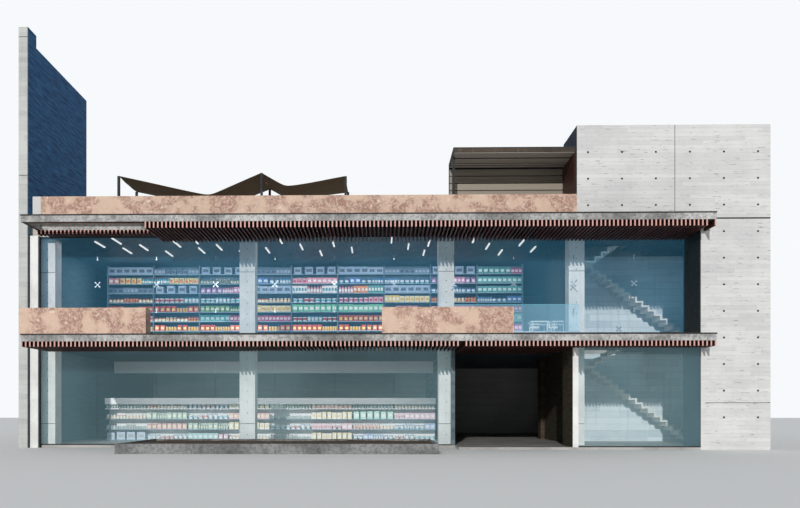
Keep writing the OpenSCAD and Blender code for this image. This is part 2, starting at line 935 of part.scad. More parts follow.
// Five rows of lights that run to the back, with every second row staggered
module ceiling_lights() {
    rows = 5;
    row_pitch = 690;
    row_shift = 375;
    first_y = glass_y + 90;
    color([1, 1, 0.96])
    for (j = [0:rows - 1]) {
        for (share = j % 2 == 0 ? even_lights : odd_lights) {
            x = left_in + share * (stair_wall_x - left_in) + (j - j % 2) * row_shift;
            y = first_y + j * row_pitch;
            if (x + light_w < stair_wall_x && (y > column_back || passes_columns(x))) {
                block(x, x + light_w, y, y + light_l, roof_under - light_t, roof_under);
            }
        }
    }
}

ground_slab();
first_floor_slab();
roof_slab();
tall_left_wall();
left_pier();
dark_metal_trim();
right_wall();
rear_wall();
rear_windows();
tower_front_wall();
tower_side_walls();
tower_roof();
upper_canopy();
upper_canopy_cap();
upper_slats();
slot_slats();
lower_canopy();
lower_canopy_cap();
lower_slats();
garage_slats();
ground_columns();
upper_columns();
shop_glass();
lobby_glass();
upper_glass();
glass_fittings();
glass_guard();
roof_planter();
canopy_planters();
ground_planter();
garage_left_wall();
garage_front_pier();
stair_side_wall();
stair_back_wall();
ground_stairs();
upper_stairs();
pavilion_roof();
pavilion_walls();
shade_sails();
roof_posts();
tall_shelving();
low_shelving();
shop_bulkhead();
tables_and_chairs();
ceiling_lights();
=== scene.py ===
# %% [markdown]
# # A small supermarket with slatted canopies
# The building arrives ready measured from its CAD model. This lesson gives every surface its finish,
# adds the small pieces that make it real, such as boards, tie holes and goods on the shelves, and
# sets up the camera and a soft studio light.

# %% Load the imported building
import math
import random
from functools import partial

import bmesh
import bpy
from mathutils import Matrix, Vector, noise


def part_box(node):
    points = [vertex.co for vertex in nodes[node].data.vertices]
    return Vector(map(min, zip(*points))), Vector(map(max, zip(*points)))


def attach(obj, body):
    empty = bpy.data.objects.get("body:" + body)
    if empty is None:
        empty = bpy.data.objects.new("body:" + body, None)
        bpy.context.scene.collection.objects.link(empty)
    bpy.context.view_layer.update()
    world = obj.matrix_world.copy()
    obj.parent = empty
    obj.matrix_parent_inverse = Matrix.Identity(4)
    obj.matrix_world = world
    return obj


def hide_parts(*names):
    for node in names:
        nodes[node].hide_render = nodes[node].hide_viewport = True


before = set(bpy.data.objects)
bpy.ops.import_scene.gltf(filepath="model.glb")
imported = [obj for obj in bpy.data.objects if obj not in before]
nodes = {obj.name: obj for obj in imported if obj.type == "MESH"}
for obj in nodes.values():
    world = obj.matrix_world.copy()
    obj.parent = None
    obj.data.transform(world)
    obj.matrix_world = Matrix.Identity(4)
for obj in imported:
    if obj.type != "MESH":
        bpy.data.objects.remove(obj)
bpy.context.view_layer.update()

# %% [markdown]
# The photographer stood on the far side of the street. The horizon lies low in the picture and the
# walls stand upright, as with a shift lens: the camera looks level, and its shift lifts the view.
# It is turned a degree to the left, so the right end of the building is a little nearer.

# %% Camera
STREET_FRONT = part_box("lower_canopy")[0].y
EYE_LEFT, EYE_DISTANCE, EYE_HEIGHT = 0.08, 30.21, 1.55
EYE_TURN = 1.05

bpy.ops.object.camera_add(
    location=(-EYE_LEFT, STREET_FRONT - EYE_DISTANCE, EYE_HEIGHT),
    rotation=(math.radians(90), 0, math.radians(EYE_TURN)),
)
camera = bpy.context.active_object
camera.data.sensor_width = 36
camera.data.lens = 36
camera.data.shift_x = 0.0409
camera.data.shift_y = 0.195
camera.data.clip_end = 500
bpy.context.scene.camera = camera
bpy.context.scene.view_settings.view_transform = "Standard"
print("Camera at", camera.location)

# %% [markdown]
# Shaders are built from nodes in code. A few small helpers keep that readable. Each places one node,
# gives its inputs plain values or the sockets that feed them, and hands back what comes out. A
# socket knows which tree it belongs to, so the helpers find the tree by themselves.

# %% Shader helpers
FINISHES = {}


def rgb(red, green, blue):
    """A colour given from 0 to 255, as the linear values that a shader wants."""
    parts = [value / 255 for value in (red, green, blue)]
    return tuple(p / 12.92 if p <= 0.04045 else ((p + 0.055) / 1.055) ** 2.4 for p in parts) + (1,)


def wire(node, wires):
    """Gives each input its value, or the socket that feeds it, and returns the outputs."""
    for name, value in wires.items():
        if isinstance(value, bpy.types.NodeSocket):
            node.id_data.links.new(value, node.inputs[name])
        else:
            node.inputs[name].default_value = value
    return node.outputs


def place(tree, kind, wires=None, **settings):
    """Places a node of this kind and returns its outputs."""
    node = tree.nodes.new("ShaderNode" + kind)
    for name, value in settings.items():
        setattr(node, name, value)
    return wire(node, wires or {})


def maths(operation, first, second=0.0):
    tree = (first if isinstance(first, bpy.types.NodeSocket) else second).id_data
    return place(tree, "Math", {0: first, 1: second}, operation=operation)[0]


plus, minus, times, over = (partial(maths, name) for name in ("ADD", "SUBTRACT", "MULTIPLY", "DIVIDE"))
floor_of, fraction, size_of = (partial(maths, name) for name in ("FLOOR", "FRACT", "ABSOLUTE"))


def ramp(value, low, high, start=0.0, end=1.0):
    """Turns low to high into start to end, softly at both ends."""
    wires = {"Value": value, "From Min": low, "From Max": high, "To Min": start, "To Max": end}
    return place(value.id_data, "MapRange", wires, interpolation_type="SMOOTHSTEP")["Result"]


def mix(factor, first, second, mode="MIX"):
    """The first colour where factor is 0 and the second where it is 1."""
    tree = (factor if isinstance(factor, bpy.types.NodeSocket) else first).id_data
    return place(tree, "Mix", {0: factor, 6: first, 7: second}, data_type="RGBA", blend_type=mode)[2]


def soft_noise(where, scale, detail=2.0, roughness=0.5, out="Fac"):
    wires = {"Vector": where, "Scale": scale, "Detail": detail, "Roughness": roughness}
    return place(where.id_data, "TexNoise", wires)[out]


def split(vector):
    return place(vector.id_data, "SeparateXYZ", {0: vector})


def vector(x, y, z=0.0):
    return place(x.id_data, "CombineXYZ", {"X": x, "Y": y, "Z": z})[0]


def facing_of(where):
    """Which way each point of the surface looks, as X, Y and Z."""
    return split(place(where.id_data, "NewGeometry")["Normal"])


def start_group(name, inputs, outputs):
    """A node group that takes a place and named numbers, and puts out named numbers."""
    group = bpy.data.node_groups.new(name, "ShaderNodeTree")
    group.interface.new_socket(name="Place", in_out="INPUT", socket_type="NodeSocketVector")
    for label, value in inputs.items():
        socket = group.interface.new_socket(name=label, in_out="INPUT", socket_type="NodeSocketFloat")
        socket.default_value = value
    for label in outputs:
        group.interface.new_socket(name=label, in_out="OUTPUT", socket_type="NodeSocketFloat")
    return group, group.nodes.new("NodeGroupInput").outputs, group.nodes.new("NodeGroupOutput")


def use_group(group, where, **values):
    return place(where.id_data, "Group", {"Place": where, **values}, node_tree=group)


def start_finish(name, roughness=0.8, metallic=0.0):
    """Starts a material. Returns its Principled shader, and the piece's own place as a vector."""
    finish = FINISHES[name] = bpy.data.materials.new(name)
    finish.use_nodes = True
    shader = finish.node_tree.nodes["Principled BSDF"]
    wire(shader, {"Roughness": roughness, "Metallic": metallic})
    return shader, place(finish.node_tree, "TexCoord")["Object"]


def coat(shader, colour, roughness=None, height=None, distance=0.001, strength=1.0):
    """Wires a colour, a roughness and the relief of a height into a shader."""
    wires = {"Base Color": colour}
    if roughness is not None:
        wires["Roughness"] = roughness
    if height is not None:
        bump = {"Height": height, "Distance": distance, "Strength": strength}
        wires["Normal"] = place(shader.id_data, "Bump", bump)["Normal"]
    wire(shader, wires)


print("Shader helpers ready")

# %% [markdown]
# Colours come out about as they are written when a pale wall in the light is close to 1. A low sun
# with soft edges models the slats and fittings, and a pale sky fills the shade. Panels of light
# under the ceilings stand for the shop's own lighting.

# %% Light
SKY_LEVEL, SUN_LEVEL = 0.5, 2.2
SUN_HEIGHT, SUN_FROM_LEFT = 17.0, 9.0

world = bpy.data.worlds.new("studio")
bpy.context.scene.world = world
world.use_nodes = True
sky = world.node_tree
sky.nodes.clear()
seen = place(sky, "Background", {"Color": (0.93, 0.95, 0.97, 1), "Strength": 1})
fill = place(sky, "Background", {"Color": (0.90, 0.95, 1.0, 1), "Strength": SKY_LEVEL})
to_camera = place(sky, "LightPath")["Is Camera Ray"]
either = place(sky, "MixShader", {"Fac": to_camera, 1: fill["Background"], 2: seen["Background"]})
place(sky, "OutputWorld", {"Surface": either["Shader"]})

bpy.ops.object.light_add(
    type="SUN", rotation=(math.radians(90 - SUN_HEIGHT), 0, math.radians(-SUN_FROM_LEFT))
)
sun = bpy.context.active_object
sun.data.energy = SUN_LEVEL
sun.data.angle = math.radians(0.7)
sun.data.color = (1.0, 0.985, 0.965)


def ceiling_panel(low, high, height, watts, lean=0, tint=(1, 1, 1)):
    """A panel of light that faces down, between two corners in plan. lean turns it to the back."""
    middle = ((low[0] + high[0]) / 2, (low[1] + high[1]) / 2, height)
    bpy.ops.object.light_add(type="AREA", location=middle, rotation=(math.radians(lean), 0, 0))
    panel = bpy.context.active_object.data
    panel.shape = "RECTANGLE"
    panel.size, panel.size_y = high[0] - low[0], high[1] - low[1]
    panel.energy = watts
    panel.color = tint


GLASS_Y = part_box("upper_glass")[0].y
SHELF_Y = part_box("tall_shelving")[0].y
LOW_SHELF_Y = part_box("low_shelving")[0].y
ceiling_panel((-14, GLASS_Y + 0.5), (6.5, SHELF_Y - 0.3), 8.6, 170)
ceiling_panel((-13.5, SHELF_Y - 2.6), (6.7, SHELF_Y - 2.0), 8.2, 170, lean=50)
ceiling_panel((-14, GLASS_Y + 0.5), (2.3, SHELF_Y - 0.3), 4.1, 70)
ceiling_panel((-13, LOW_SHELF_Y - 2.6), (2.3, LOW_SHELF_Y - 2.0), 3.9, 100, lean=55)
ceiling_panel((8.5, GLASS_Y + 0.3), (14.4, GLASS_Y + 2.0), 8.6, 16, tint=(0.25, 0.72, 1.0))
ceiling_panel((8.5, GLASS_Y - 0.9), (12.0, GLASS_Y + 2.0), 3.9, 4, tint=(0.4, 0.8, 1.0))

# %% Floor
bpy.ops.mesh.primitive_plane_add(size=240, location=(0, 0, -0.002))
floor = bpy.context.active_object
floor.name = "studio_floor"
shader, where = start_finish("studio_floor", 0.9)
shader.inputs["Base Color"].default_value = (0.78, 0.78, 0.77, 1)
floor.data.materials.append(FINISHES["studio_floor"])
print("Floor:", floor.name)

# %% [markdown]
# The walls are cast against rough boards, so the concrete keeps the boards' grain, a thin line at
# each board's edge and a slightly different grey from board to board. Adding X to Y gives one
# measure along a wall, whichever way the wall runs, so a single group serves all of them.

# %% Board marks
board_marks, given, result = start_group(
    "board_marks", {"Board": 0.16, "Length": 2.6}, ["Tone", "Lines", "Dashes", "Height"]
)
axes = split(given["Place"])
along = plus(axes["X"], axes["Y"])
board = over(axes["Z"], given["Board"])
row = floor_of(board)
shifted = plus(over(along, given["Length"]), times(row, 0.37))
pair = vector(row, floor_of(shifted))
tone = place(board_marks, "TexWhiteNoise", {"Vector": pair}, noise_dimensions="3D")["Value"]
fibre = soft_noise(vector(plus(times(along, 1.3), times(tone, 40)), times(axes["Z"], 55), row), 1.0, 4.0)
edge = ramp(size_of(minus(fraction(board), 0.5)), 0.455, 0.5)
end = ramp(size_of(minus(fraction(shifted), 0.5)), 0.4965, 0.5)
line = maths("MAXIMUM", edge, times(end, 0.8))
dash = soft_noise(vector(times(along, 2.4), times(axes["Z"], 26), times(tone, 9)), 1.0, 6.0, 0.65)
raised = plus(times(tone, 0.35), times(fibre, 0.45))
wire(result, {
    "Tone": plus(times(tone, 0.35), times(fibre, 0.65)),
    "Lines": line,
    "Dashes": ramp(dash, 0.60, 0.68),
    "Height": minus(raised, times(line, 0.6)),
})
print("Group:", board_marks.name)

# %% [markdown]
# Rain leaves soft clouds and thin runs on concrete. The clouds are slow noise, and the runs are
# noise that is squeezed sideways and stretched downwards. Round cells make the small pores.

# %% Weather
weather, given, result = start_group("weather", {"Cloud": 0.6}, ["Clouds", "Runs", "Pores"])
axes = split(given["Place"])
cloud = soft_noise(given["Place"], given["Cloud"], 6.0, 0.6)
run = soft_noise(vector(times(plus(axes["X"], axes["Y"]), 5.0), times(axes["Z"], 0.22)), 1.0, 5.0, 0.55)
pore = place(weather, "TexVoronoi", {"Vector": given["Place"], "Scale": 14.0})["Distance"]
wire(result, {
    "Clouds": ramp(cloud, 0.3, 0.72), "Runs": ramp(run, 0.52, 0.75), "Pores": ramp(pore, 0.13, 0.05)
})
print("Group:", weather.name)

# %% [markdown]
# The shaded faces of the tall wall and the garage show long soft streaks that run back into the
# depth, where the boards took the stain unevenly. One group gives that mask to all of them.

# %% Streaks
streaks, given, result = start_group("depth_streaks", {"Fine": 11.0}, ["Mask"])
axes = split(given["Place"])
along = times(plus(axes["X"], axes["Y"]), 1.1)
streak = soft_noise(vector(along, times(axes["Z"], given["Fine"])), 1.0, 6.0, 0.62)
wire(result, {"Mask": ramp(streak, 0.30, 0.70)})
print("Group:", streaks.name)

# %% [markdown]
# Timber shows its grain along the board. The group takes the way along and across the board as a
# ready vector, so slats, planks and cladding can all use it.

# %% Timber grain
grain, given, result = start_group("timber_grain", {"Fine": 60.0}, ["Tone", "Height"])
axes = split(given["Place"])
bent = soft_noise(given["Place"], 0.9, 2.0)
across = plus(times(axes["Y"], given["Fine"]), times(bent, 9.0))
streak = soft_noise(vector(times(axes["X"], 0.8), across, times(axes["Z"], given["Fine"])), 1.0, 5.0)
wire(result, {"Tone": ramp(streak, 0.3, 0.7), "Height": streak})
print("Group:", grain.name)

# %% [markdown]
# ## Concrete
# All concretes share one recipe with their own colours: board marks or a smooth face, clouds, runs,
# pores and specks of mould. Some faces are painted in the colours of their shade, such as the blue
# inner face of the tall wall and the ceilings, so the recipe takes a pair of colours for each way
# that such a face looks. Board lines only show on upright faces.

# %% Recipe for concrete
GROOVE_MIDDLE, GROOVE_HALF = 0.0125, 0.0075
JOINT_SHADE_SOFT, JOINT_SHADE_FULL = 0.034, 0.022


def concrete(
    name, light, dark, marks=0.0, board=0.16, runs=0.3, dashes=0.0, faces=None, indoor_shade=None,
    grooves=(), joint_shade_height=None, mould=0.0, pit=0.5, rough=(0.72, 0.95),
):
    """A concrete between two greys. marks, runs, dashes, mould and pit say how far those show.

    grooves names an axis and the place of a face along it: what lies 5 to 20 mm behind it is painted
    dark, as shade in the groove. A joint's height gives a dark line along it, partly the joint's own
    line and partly painted shade. A face in a room is given by one way, the height up to which it is
    in the room, and its colours there, which are painted shade."""
    shader, where = start_finish(name)
    spot, facing = split(where), facing_of(where)
    worn = use_group(weather, where)
    marked = use_group(board_marks, where, Board=board)
    fine = soft_noise(where, 9.0, 8.0, 0.7)
    body = plus(times(worn["Clouds"], 0.55), times(fine, 0.45))
    shade = plus(times(body, 1 - marks), times(marked["Tone"], marks))
    colour = mix(ramp(shade, 0.12, 0.75), dark, light)
    upright = ramp(size_of(facing["Z"]), 0.6, 0.3)
    for mask, grey in (
        (times(times(marked["Lines"], upright), marks * 0.45), rgb(118, 118, 118)),
        (times(times(marked["Dashes"], upright), dashes), rgb(104, 106, 108)),
        (times(worn["Runs"], runs), rgb(116, 114, 110)),
        (times(worn["Pores"], pit), rgb(90, 88, 84)),
    ):
        colour = mix(mask, colour, grey)
    if mould:
        specks = soft_noise(where, 8.0, 5.0, 0.8)
        patches = times(ramp(specks, 0.50, 0.55), ramp(specks, 0.64, 0.58))
        colour = mix(times(patches, mould), colour, rgb(46, 46, 43))
    # Faces that look one way take a pair of colours that is painted shade, streaked from one to the other.
    if faces:
        long_marks = use_group(streaks, where)["Mask"]
        for way, (deep, pale) in faces.items():
            turned = ramp(times(facing[way[1]], -1.0 if way[0] == "-" else 1.0), 0.6, 0.9)
            shade_colour = mix(long_marks, deep, pale)
            # Below the roof this face is inside a room, where its painted shade takes other colours.
            if indoor_shade and way == indoor_shade[0]:
                shade_below = ramp(spot["Z"], indoor_shade[1] + 0.02, indoor_shade[1] - 0.02)
                shade_colour = mix(shade_below, shade_colour, mix(long_marks, *indoor_shade[2]))
            colour = mix(turned, colour, shade_colour)
    # A groove's depth is painted dark grey: painted shade in the groove.
    for axis, face_at, inward in grooves:
        behind = times(minus(spot[axis], face_at), inward)
        groove_shade_mask = maths("LESS_THAN", size_of(minus(behind, GROOVE_MIDDLE)), GROOVE_HALF)
        colour = mix(groove_shade_mask, colour, rgb(58, 58, 58))
    # A dark line is painted along a joint: partly the joint's own dark line, partly painted shade.
    if joint_shade_height:
        level = size_of(minus(spot["Z"], joint_shade_height))
        colour = mix(ramp(level, JOINT_SHADE_SOFT, JOINT_SHADE_FULL), colour, rgb(34, 35, 36))
    height = plus(times(marked["Height"], marks), times(fine, 0.2))
    coat(shader, colour, ramp(fine, 0.3, 0.7, *rough), minus(height, times(worn["Pores"], 0.5)), 0.006)


print("Recipe for concrete ready")

# %% [markdown]
# The greys are picked from the lit faces, and the pairs below from the faces in shade: navy
# on the tower's side, deep blue on the tall wall, olive in the garage.

# %% Concretes
# Each pair below is painted shade: the dark and pale colours that these faces show in shade.
NAVY_SHADE = (rgb(20, 30, 44), rgb(34, 58, 82))
DEEP_BLUE_SHADE = (rgb(4, 58, 104), rgb(52, 112, 162))
CEILING_SHADE = (rgb(36, 58, 72), rgb(50, 76, 92))
ROOM_WALL_SHADE = (rgb(74, 98, 110), rgb(92, 116, 128))
OLIVE_SHADE = (rgb(40, 35, 25), rgb(78, 70, 50))
PILASTER_SHADE = (rgb(46, 38, 28), rgb(78, 62, 44))
UNDER_SLATS_SHADE = (rgb(48, 34, 30), rgb(66, 50, 44))

ROOF_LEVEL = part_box("roof_slab")[1].z
CAP_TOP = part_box("upper_canopy_cap")[1].z
TOWER_FACE = ("Y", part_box("tower_front_wall")[0].y, 1.0)
TALL_FACES = (("Y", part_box("tall_left_wall")[0].y, 1.0), ("X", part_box("tall_left_wall")[1].x, -1.0))
COLUMN_FACE = ("Y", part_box("upper_columns")[0].y, 1.0)

concrete("board_concrete", rgb(214, 215, 214), rgb(192, 192, 191), marks=0.6, runs=0.1, dashes=0.4)
concrete(
    "tower_concrete", rgb(215, 214, 211), rgb(188, 188, 188), marks=0.6, runs=0.04, dashes=0.85,
    faces={"-X": NAVY_SHADE}, grooves=[TOWER_FACE], joint_shade_height=CAP_TOP - 0.011, pit=0.3,
)
concrete(
    "tall_concrete", rgb(199, 200, 196), rgb(168, 169, 166), marks=0.55, board=0.2, runs=0.12, dashes=0.35,
    faces={"+X": DEEP_BLUE_SHADE}, indoor_shade=("+X", ROOF_LEVEL, ROOM_WALL_SHADE), grooves=TALL_FACES,
)
concrete("pale_concrete", rgb(236, 236, 233), rgb(208, 208, 205), runs=0.12, grooves=[COLUMN_FACE])
for name, faces in (
    ("garage_pier_concrete", {"-X": OLIVE_SHADE}),
    ("garage_side_concrete", {"-X": OLIVE_SHADE, "-Y": PILASTER_SHADE}),
):
    concrete(name, rgb(234, 234, 231), rgb(206, 206, 203), runs=0.12, faces=faces)
concrete(
    "canopy_concrete", rgb(194, 193, 191), rgb(112, 111, 110), runs=0.5, mould=0.5,
    faces={"-Z": UNDER_SLATS_SHADE},
)
concrete(
    "floor_concrete", rgb(176, 174, 170), rgb(140, 138, 134), runs=0.0, rough=(0.35, 0.6),
    faces={"-Z": CEILING_SHADE},
)
concrete("stair_concrete", rgb(240, 239, 235), rgb(214, 212, 207), runs=0.05, pit=0.25)
# The stairwell's greys are tinted blue, partly a painted shade of sky.
concrete(
    "stairwell_concrete", rgb(226, 236, 240), rgb(184, 198, 206), marks=0.9, board=0.3, runs=0.25,
    dashes=0.4,
)
# The garage wall is dark blue-grey: painted shade inside the garage.
concrete("garage_concrete", rgb(112, 130, 136), rgb(48, 62, 70), marks=0.9, runs=0.3)
concrete("planter_concrete", rgb(142, 142, 142), rgb(88, 88, 89), runs=0.35, pit=0.9, mould=0.5)
concrete("fascia_board", rgb(84, 68, 54), rgb(44, 36, 30), marks=0.3, runs=0.4, mould=0.6)
# A near-black board for behind the pavilion's boards: painted shade in the gaps between them.
concrete("gap_shade_backing", rgb(34, 30, 28), rgb(20, 18, 17), runs=0.0, pit=0.0)
print("Concretes:", [name for name in FINISHES if "concrete" in name])

# %% [markdown]
# ## Blotched stone
# The planters are faced with a warm stone with pink and brown blotches. Two noises of different
# size are cut into islands, and a finer one adds grit. The roof planter ends at the left in a block
# of plain grey, so whatever lies left of its edge and above the canopy takes that grey.

# %% Stone
END_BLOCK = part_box("roof_planter")[0].x + 0.32

shader, where = start_finish("mottled_stone")
warp = soft_noise(where, 2.0, 3.0, out="Color")
bent = place(where.id_data, "VectorMath", {0: where, 1: warp}, operation="ADD")[0]
large = soft_noise(where, 1.5, 3.0, 0.55)
small = soft_noise(bent, 9.0, 3.0, 0.6)
grit = place(where.id_data, "TexVoronoi", {"Vector": where, "Scale": 60.0})["Color"]
colour = mix(ramp(large, 0.36, 0.62), rgb(205, 176, 155), rgb(187, 154, 135))
cluster = times(ramp(large, 0.44, 0.56), ramp(small, 0.47, 0.54))
colour = mix(times(cluster, 0.72), colour, rgb(146, 108, 96))
colour = mix(ramp(small, 0.40, 0.30), colour, rgb(218, 194, 174))
colour = mix(0.14, colour, grit, "OVERLAY")
spot = split(where)
in_block = maths("LESS_THAN", spot["X"], END_BLOCK)
in_block = times(in_block, maths("GREATER_THAN", spot["Z"], CAP_TOP - 0.01))
colour = mix(in_block, colour, mix(small, rgb(176, 177, 176), rgb(212, 212, 209)))
coat(shader, colour, ramp(small, 0.3, 0.7, 0.5, 0.8), plus(small, times(large, 0.6)), 0.004)
print("Stone:", FINISHES["mottled_stone"].name)

# %% [markdown]
# ## Timber
# A slat is told from its neighbours by a small step of tone: the place across the slats, divided by
# their pitch and rounded down, feeds a random number. The slats' cut ends face the street and the
# sun, and are painted much paler: partly the cut ends' own paler colour, partly a painted highlight.

# %% Slats and boards
def timber(name, light, dark, along="Y", across="X", pitch=0.16, ends=None, start=0.0):
    """Oiled or weathered timber that runs along one axis, with boards counted across another."""
    shader, where = start_finish(name)
    axes = split(where)
    third = [axis for axis in "XYZ" if axis not in (along, across)][0]
    board = floor_of(over(minus(axes[across], start), pitch))
    luck = place(where.id_data, "TexWhiteNoise", {"W": board}, noise_dimensions="1D")["Value"]
    turned = vector(plus(axes[along], times(luck, 30.0)), axes[across], axes[third])
    figure = use_group(grain, turned, Fine=60.0)
    colour = mix(plus(times(figure["Tone"], 0.6), times(luck, 0.4)), dark, light)
    # The ends that look to the street get a painted highlight, partly their own paler colour.
    if ends:
        sunlit_end = ramp(times(facing_of(where)[along], -1.0), 0.5, 0.9)
        cut = mix(times(soft_noise(where, 40.0, 4.0), 0.3), ends, dark)
        colour = mix(sunlit_end, colour, cut)
    coat(shader, colour, ramp(figure["Tone"], 0.0, 1.0, 0.45, 0.7), figure["Height"], 0.002)


SLATS = {"pitch": 0.158, "start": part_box("upper_canopy")[0].x}
timber("slat_timber", rgb(92, 40, 33), rgb(46, 17, 15), ends=rgb(218, 168, 158), **SLATS)
timber("low_slat_timber", rgb(92, 42, 35), rgb(46, 17, 15), ends=rgb(218, 170, 160), **SLATS)
timber("plank_timber", rgb(212, 203, 194), rgb(168, 159, 150), "X", "Y", 0.117)
timber("wall_timber", rgb(158, 148, 132), rgb(112, 102, 90), "X", "Z", 0.14)
timber("side_timber", rgb(88, 46, 36), rgb(50, 26, 20), "Y", "Z", 0.14)
print("Timbers:", [name for name in FINISHES if "timber" in name])

# %% [markdown]
# ## Metal and glass
# Painted metal is never quite even: a faint cloud of dust in its colour and roughness is enough.

# %% Metals
def painted_metal(name, colour, roughness=0.4, wear=0.05, metallic=0.0):
    shader, where = start_finish(name, roughness, metallic)
    dust = soft_noise(where, 3.5, 6.0)
    dusty = mix(times(ramp(dust, 0.4, 0.75), wear), colour, rgb(170, 166, 158))
    skin = soft_noise(where, 90.0, 2.0)
    coat(shader, dusty, ramp(dust, 0.3, 0.7, roughness, roughness + 0.2), skin, 0.0005, 0.6)


painted_metal("dark_metal", rgb(17, 19, 20), 0.6, 0.04)
painted_metal("white_metal", rgb(238, 240, 241), 0.35)
painted_metal("shelf_metal", rgb(104, 130, 150), 0.45)
painted_metal("rail_metal", rgb(140, 168, 184), 0.45)
painted_metal("steel", rgb(150, 162, 172), 0.3, metallic=1.0)
painted_metal("white_paint", rgb(232, 235, 238), 0.6)
print("Metals:", list(FINISHES)[-6:])

# %% [markdown]
# The glass front is tinted blue and glows faintly with a painted reflection of sky, so it is part
# colour and part see-through. Real refraction would darken the rooms and cost much time, so alpha
# does the work: it lies between two values and drifts slowly over the panes.

# %% Glass
def pane_glass(name, veil, paler, least, most, painted_sky_reflection):
    """Glass as a thin veil of colour. The last argument is a painted reflection of sky that glows even in
    shade.

    Shadow rays pass more easily."""
    shader, where = start_finish(name, 0.04)
    drift = soft_noise(where, 0.25, 3.0)
    shadow_ray = place(where.id_data, "LightPath")["Is Shadow Ray"]
    faint = tuple(part * 0.8 for part in painted_sky_reflection[:3]) + (1,)
    coat(shader, mix(drift, veil, paler), ramp(drift, 0.3, 0.7, 0.03, 0.07))
    # The emission is a painted reflection of sky, so the pane glows though it is no lamp.
    wire(shader, {
        "Alpha": times(ramp(drift, 0.3, 0.7, least, most), minus(1.0, times(shadow_ray, 0.8))),
        "Emission Color": mix(drift, faint, painted_sky_reflection),
        "Emission Strength": 1.0,
        "IOR": 1.5,
        "Specular IOR Level": 0.6,
    })


pane_glass("front_glass", rgb(70, 138, 176), rgb(104, 160, 192), 0.07, 0.11, (0.02, 0.17, 0.28, 1))
pane_glass("shop_glass", rgb(96, 136, 148), rgb(128, 160, 168), 0.09, 0.13, (0.16, 0.29, 0.32, 1))
pane_glass("guard_glass", rgb(120, 166, 180), rgb(140, 184, 196), 0.15, 0.22, (0.16, 0.27, 0.36, 1))
pane_glass("rear_glass", rgb(60, 78, 90), rgb(90, 110, 124), 0.70, 0.85, (0.01, 0.02, 0.03, 1))
print("Glass:", [name for name in FINISHES if "glass" in name])

# %% [markdown]
# The lamps under the ceilings have milky covers that glow a little warmer in some places.

# %% Lamp covers
shader, where = start_finish("light_cover", 0.5)
glow = soft_noise(where, 2.0)
coat(shader, mix(glow, rgb(255, 252, 240), rgb(240, 246, 255)))
warmth = mix(glow, (1, 0.98, 0.92, 1), (0.92, 0.97, 1, 1))
wire(shader, {"Emission Color": warmth, "Emission Strength": 0.8})
print("Lamp covers:", FINISHES["light_cover"].name)

# %% [markdown]
# ## Finishes on the CAD nodes
# Each CAD node keeps its mesh and only gets a better material in its first slot.

# %% Dress the CAD nodes
DRESS = {
    "board_concrete": "right_wall rear_wall",
    "tower_concrete": "tower_front_wall tower_side_walls tower_roof",
    "tall_concrete": "tall_left_wall",
    "pale_concrete": "left_pier ground_columns upper_columns",
    "garage_pier_concrete": "garage_front_pier",
    "garage_side_concrete": "stair_side_wall",
    "canopy_concrete": "upper_canopy lower_canopy",
    "floor_concrete": "ground_slab first_floor_slab roof_slab",
    "stair_concrete": "ground_stairs upper_stairs",
    "stairwell_concrete": "stair_back_wall",
    "garage_concrete": "garage_left_wall",
    "planter_concrete": "ground_planter",
    "mottled_stone": "roof_planter canopy_planters",
    "dark_metal": "dark_metal_trim upper_canopy_cap lower_canopy_cap roof_posts",
    "white_metal": "low_shelving tables_and_chairs",
    "shelf_metal": "tall_shelving",
    "steel": "glass_fittings",
    "white_paint": "shop_bulkhead",
    "slat_timber": "upper_slats slot_slats",
    "low_slat_timber": "lower_slats garage_slats",
    "fascia_board": "pavilion_roof",
    "gap_shade_backing": "pavilion_walls",
    "front_glass": "upper_glass",
    "shop_glass": "shop_glass lobby_glass",
    "guard_glass": "glass_guard",
    "rear_glass": "rear_windows",
    "light_cover": "ceiling_lights",
}
for finish, names in DRESS.items():
    for name in names.split():
        mesh = nodes[name].data
        mesh.materials.clear()
        mesh.materials.append(FINISHES[finish])
print("Dressed:", sum(len(names.split()) for names in DRESS.values()), "nodes")

# %% [markdown]
# # New pieces
# Every new piece starts as a primitive at its real place and size, and is then shaped in edit mode.
# The helpers below do the handwork that comes back each time: start a block or a rod, pick faces by
# where they look, soften the edges, and copy one pattern to many places.

# %% Start a piece and pick its parts
FRONT, UP = (0, -1, 0), (0, 0, 1)


def apply_place():
    bpy.ops.object.transform_apply(location=True, rotation=True, scale=True)
    return bpy.context.active_object


def block(name, low, high):
    """A block between two corners, as a start for a piece."""
    bpy.ops.object.select_all(action="DESELECT")
    middle = [(a + b) / 2 for a, b in zip(low, high)]
    bpy.ops.mesh.primitive_cube_add(size=1, location=middle)
    piece = bpy.context.active_object
    piece.name = name
    piece.scale = [b - a for a, b in zip(low, high)]
    return apply_place()


def rod(sides, radius, depth, middle, lying=False):
    """A round or six-sided rod about its middle, upright or lying along Y, as a start for a piece."""
    bpy.ops.object.select_all(action="DESELECT")
    bpy.ops.mesh.primitive_cylinder_add(
        vertices=sides, radius=radius, depth=depth, location=middle,
        rotation=(math.radians(90 if lying else 0), 0, 0),
    )
    return apply_place()


def choose(piece, kind, test):
    """Opens the piece in edit mode with only those faces or edges selected that pass the test."""
    bpy.context.view_layer.objects.active = piece
    if piece.mode != "EDIT":
        bpy.ops.object.mode_set(mode="EDIT")
    bpy.ops.mesh.select_mode(type="FACE" if kind == "faces" else "EDGE")
    bpy.ops.mesh.select_all(action="DESELECT")
    mesh = bmesh.from_edit_mesh(piece.data)
    for part in getattr(mesh, kind):
        if test(part):
            part.select_set(True)
    mesh.select_flush_mode()
    bmesh.update_edit_mesh(piece.data)


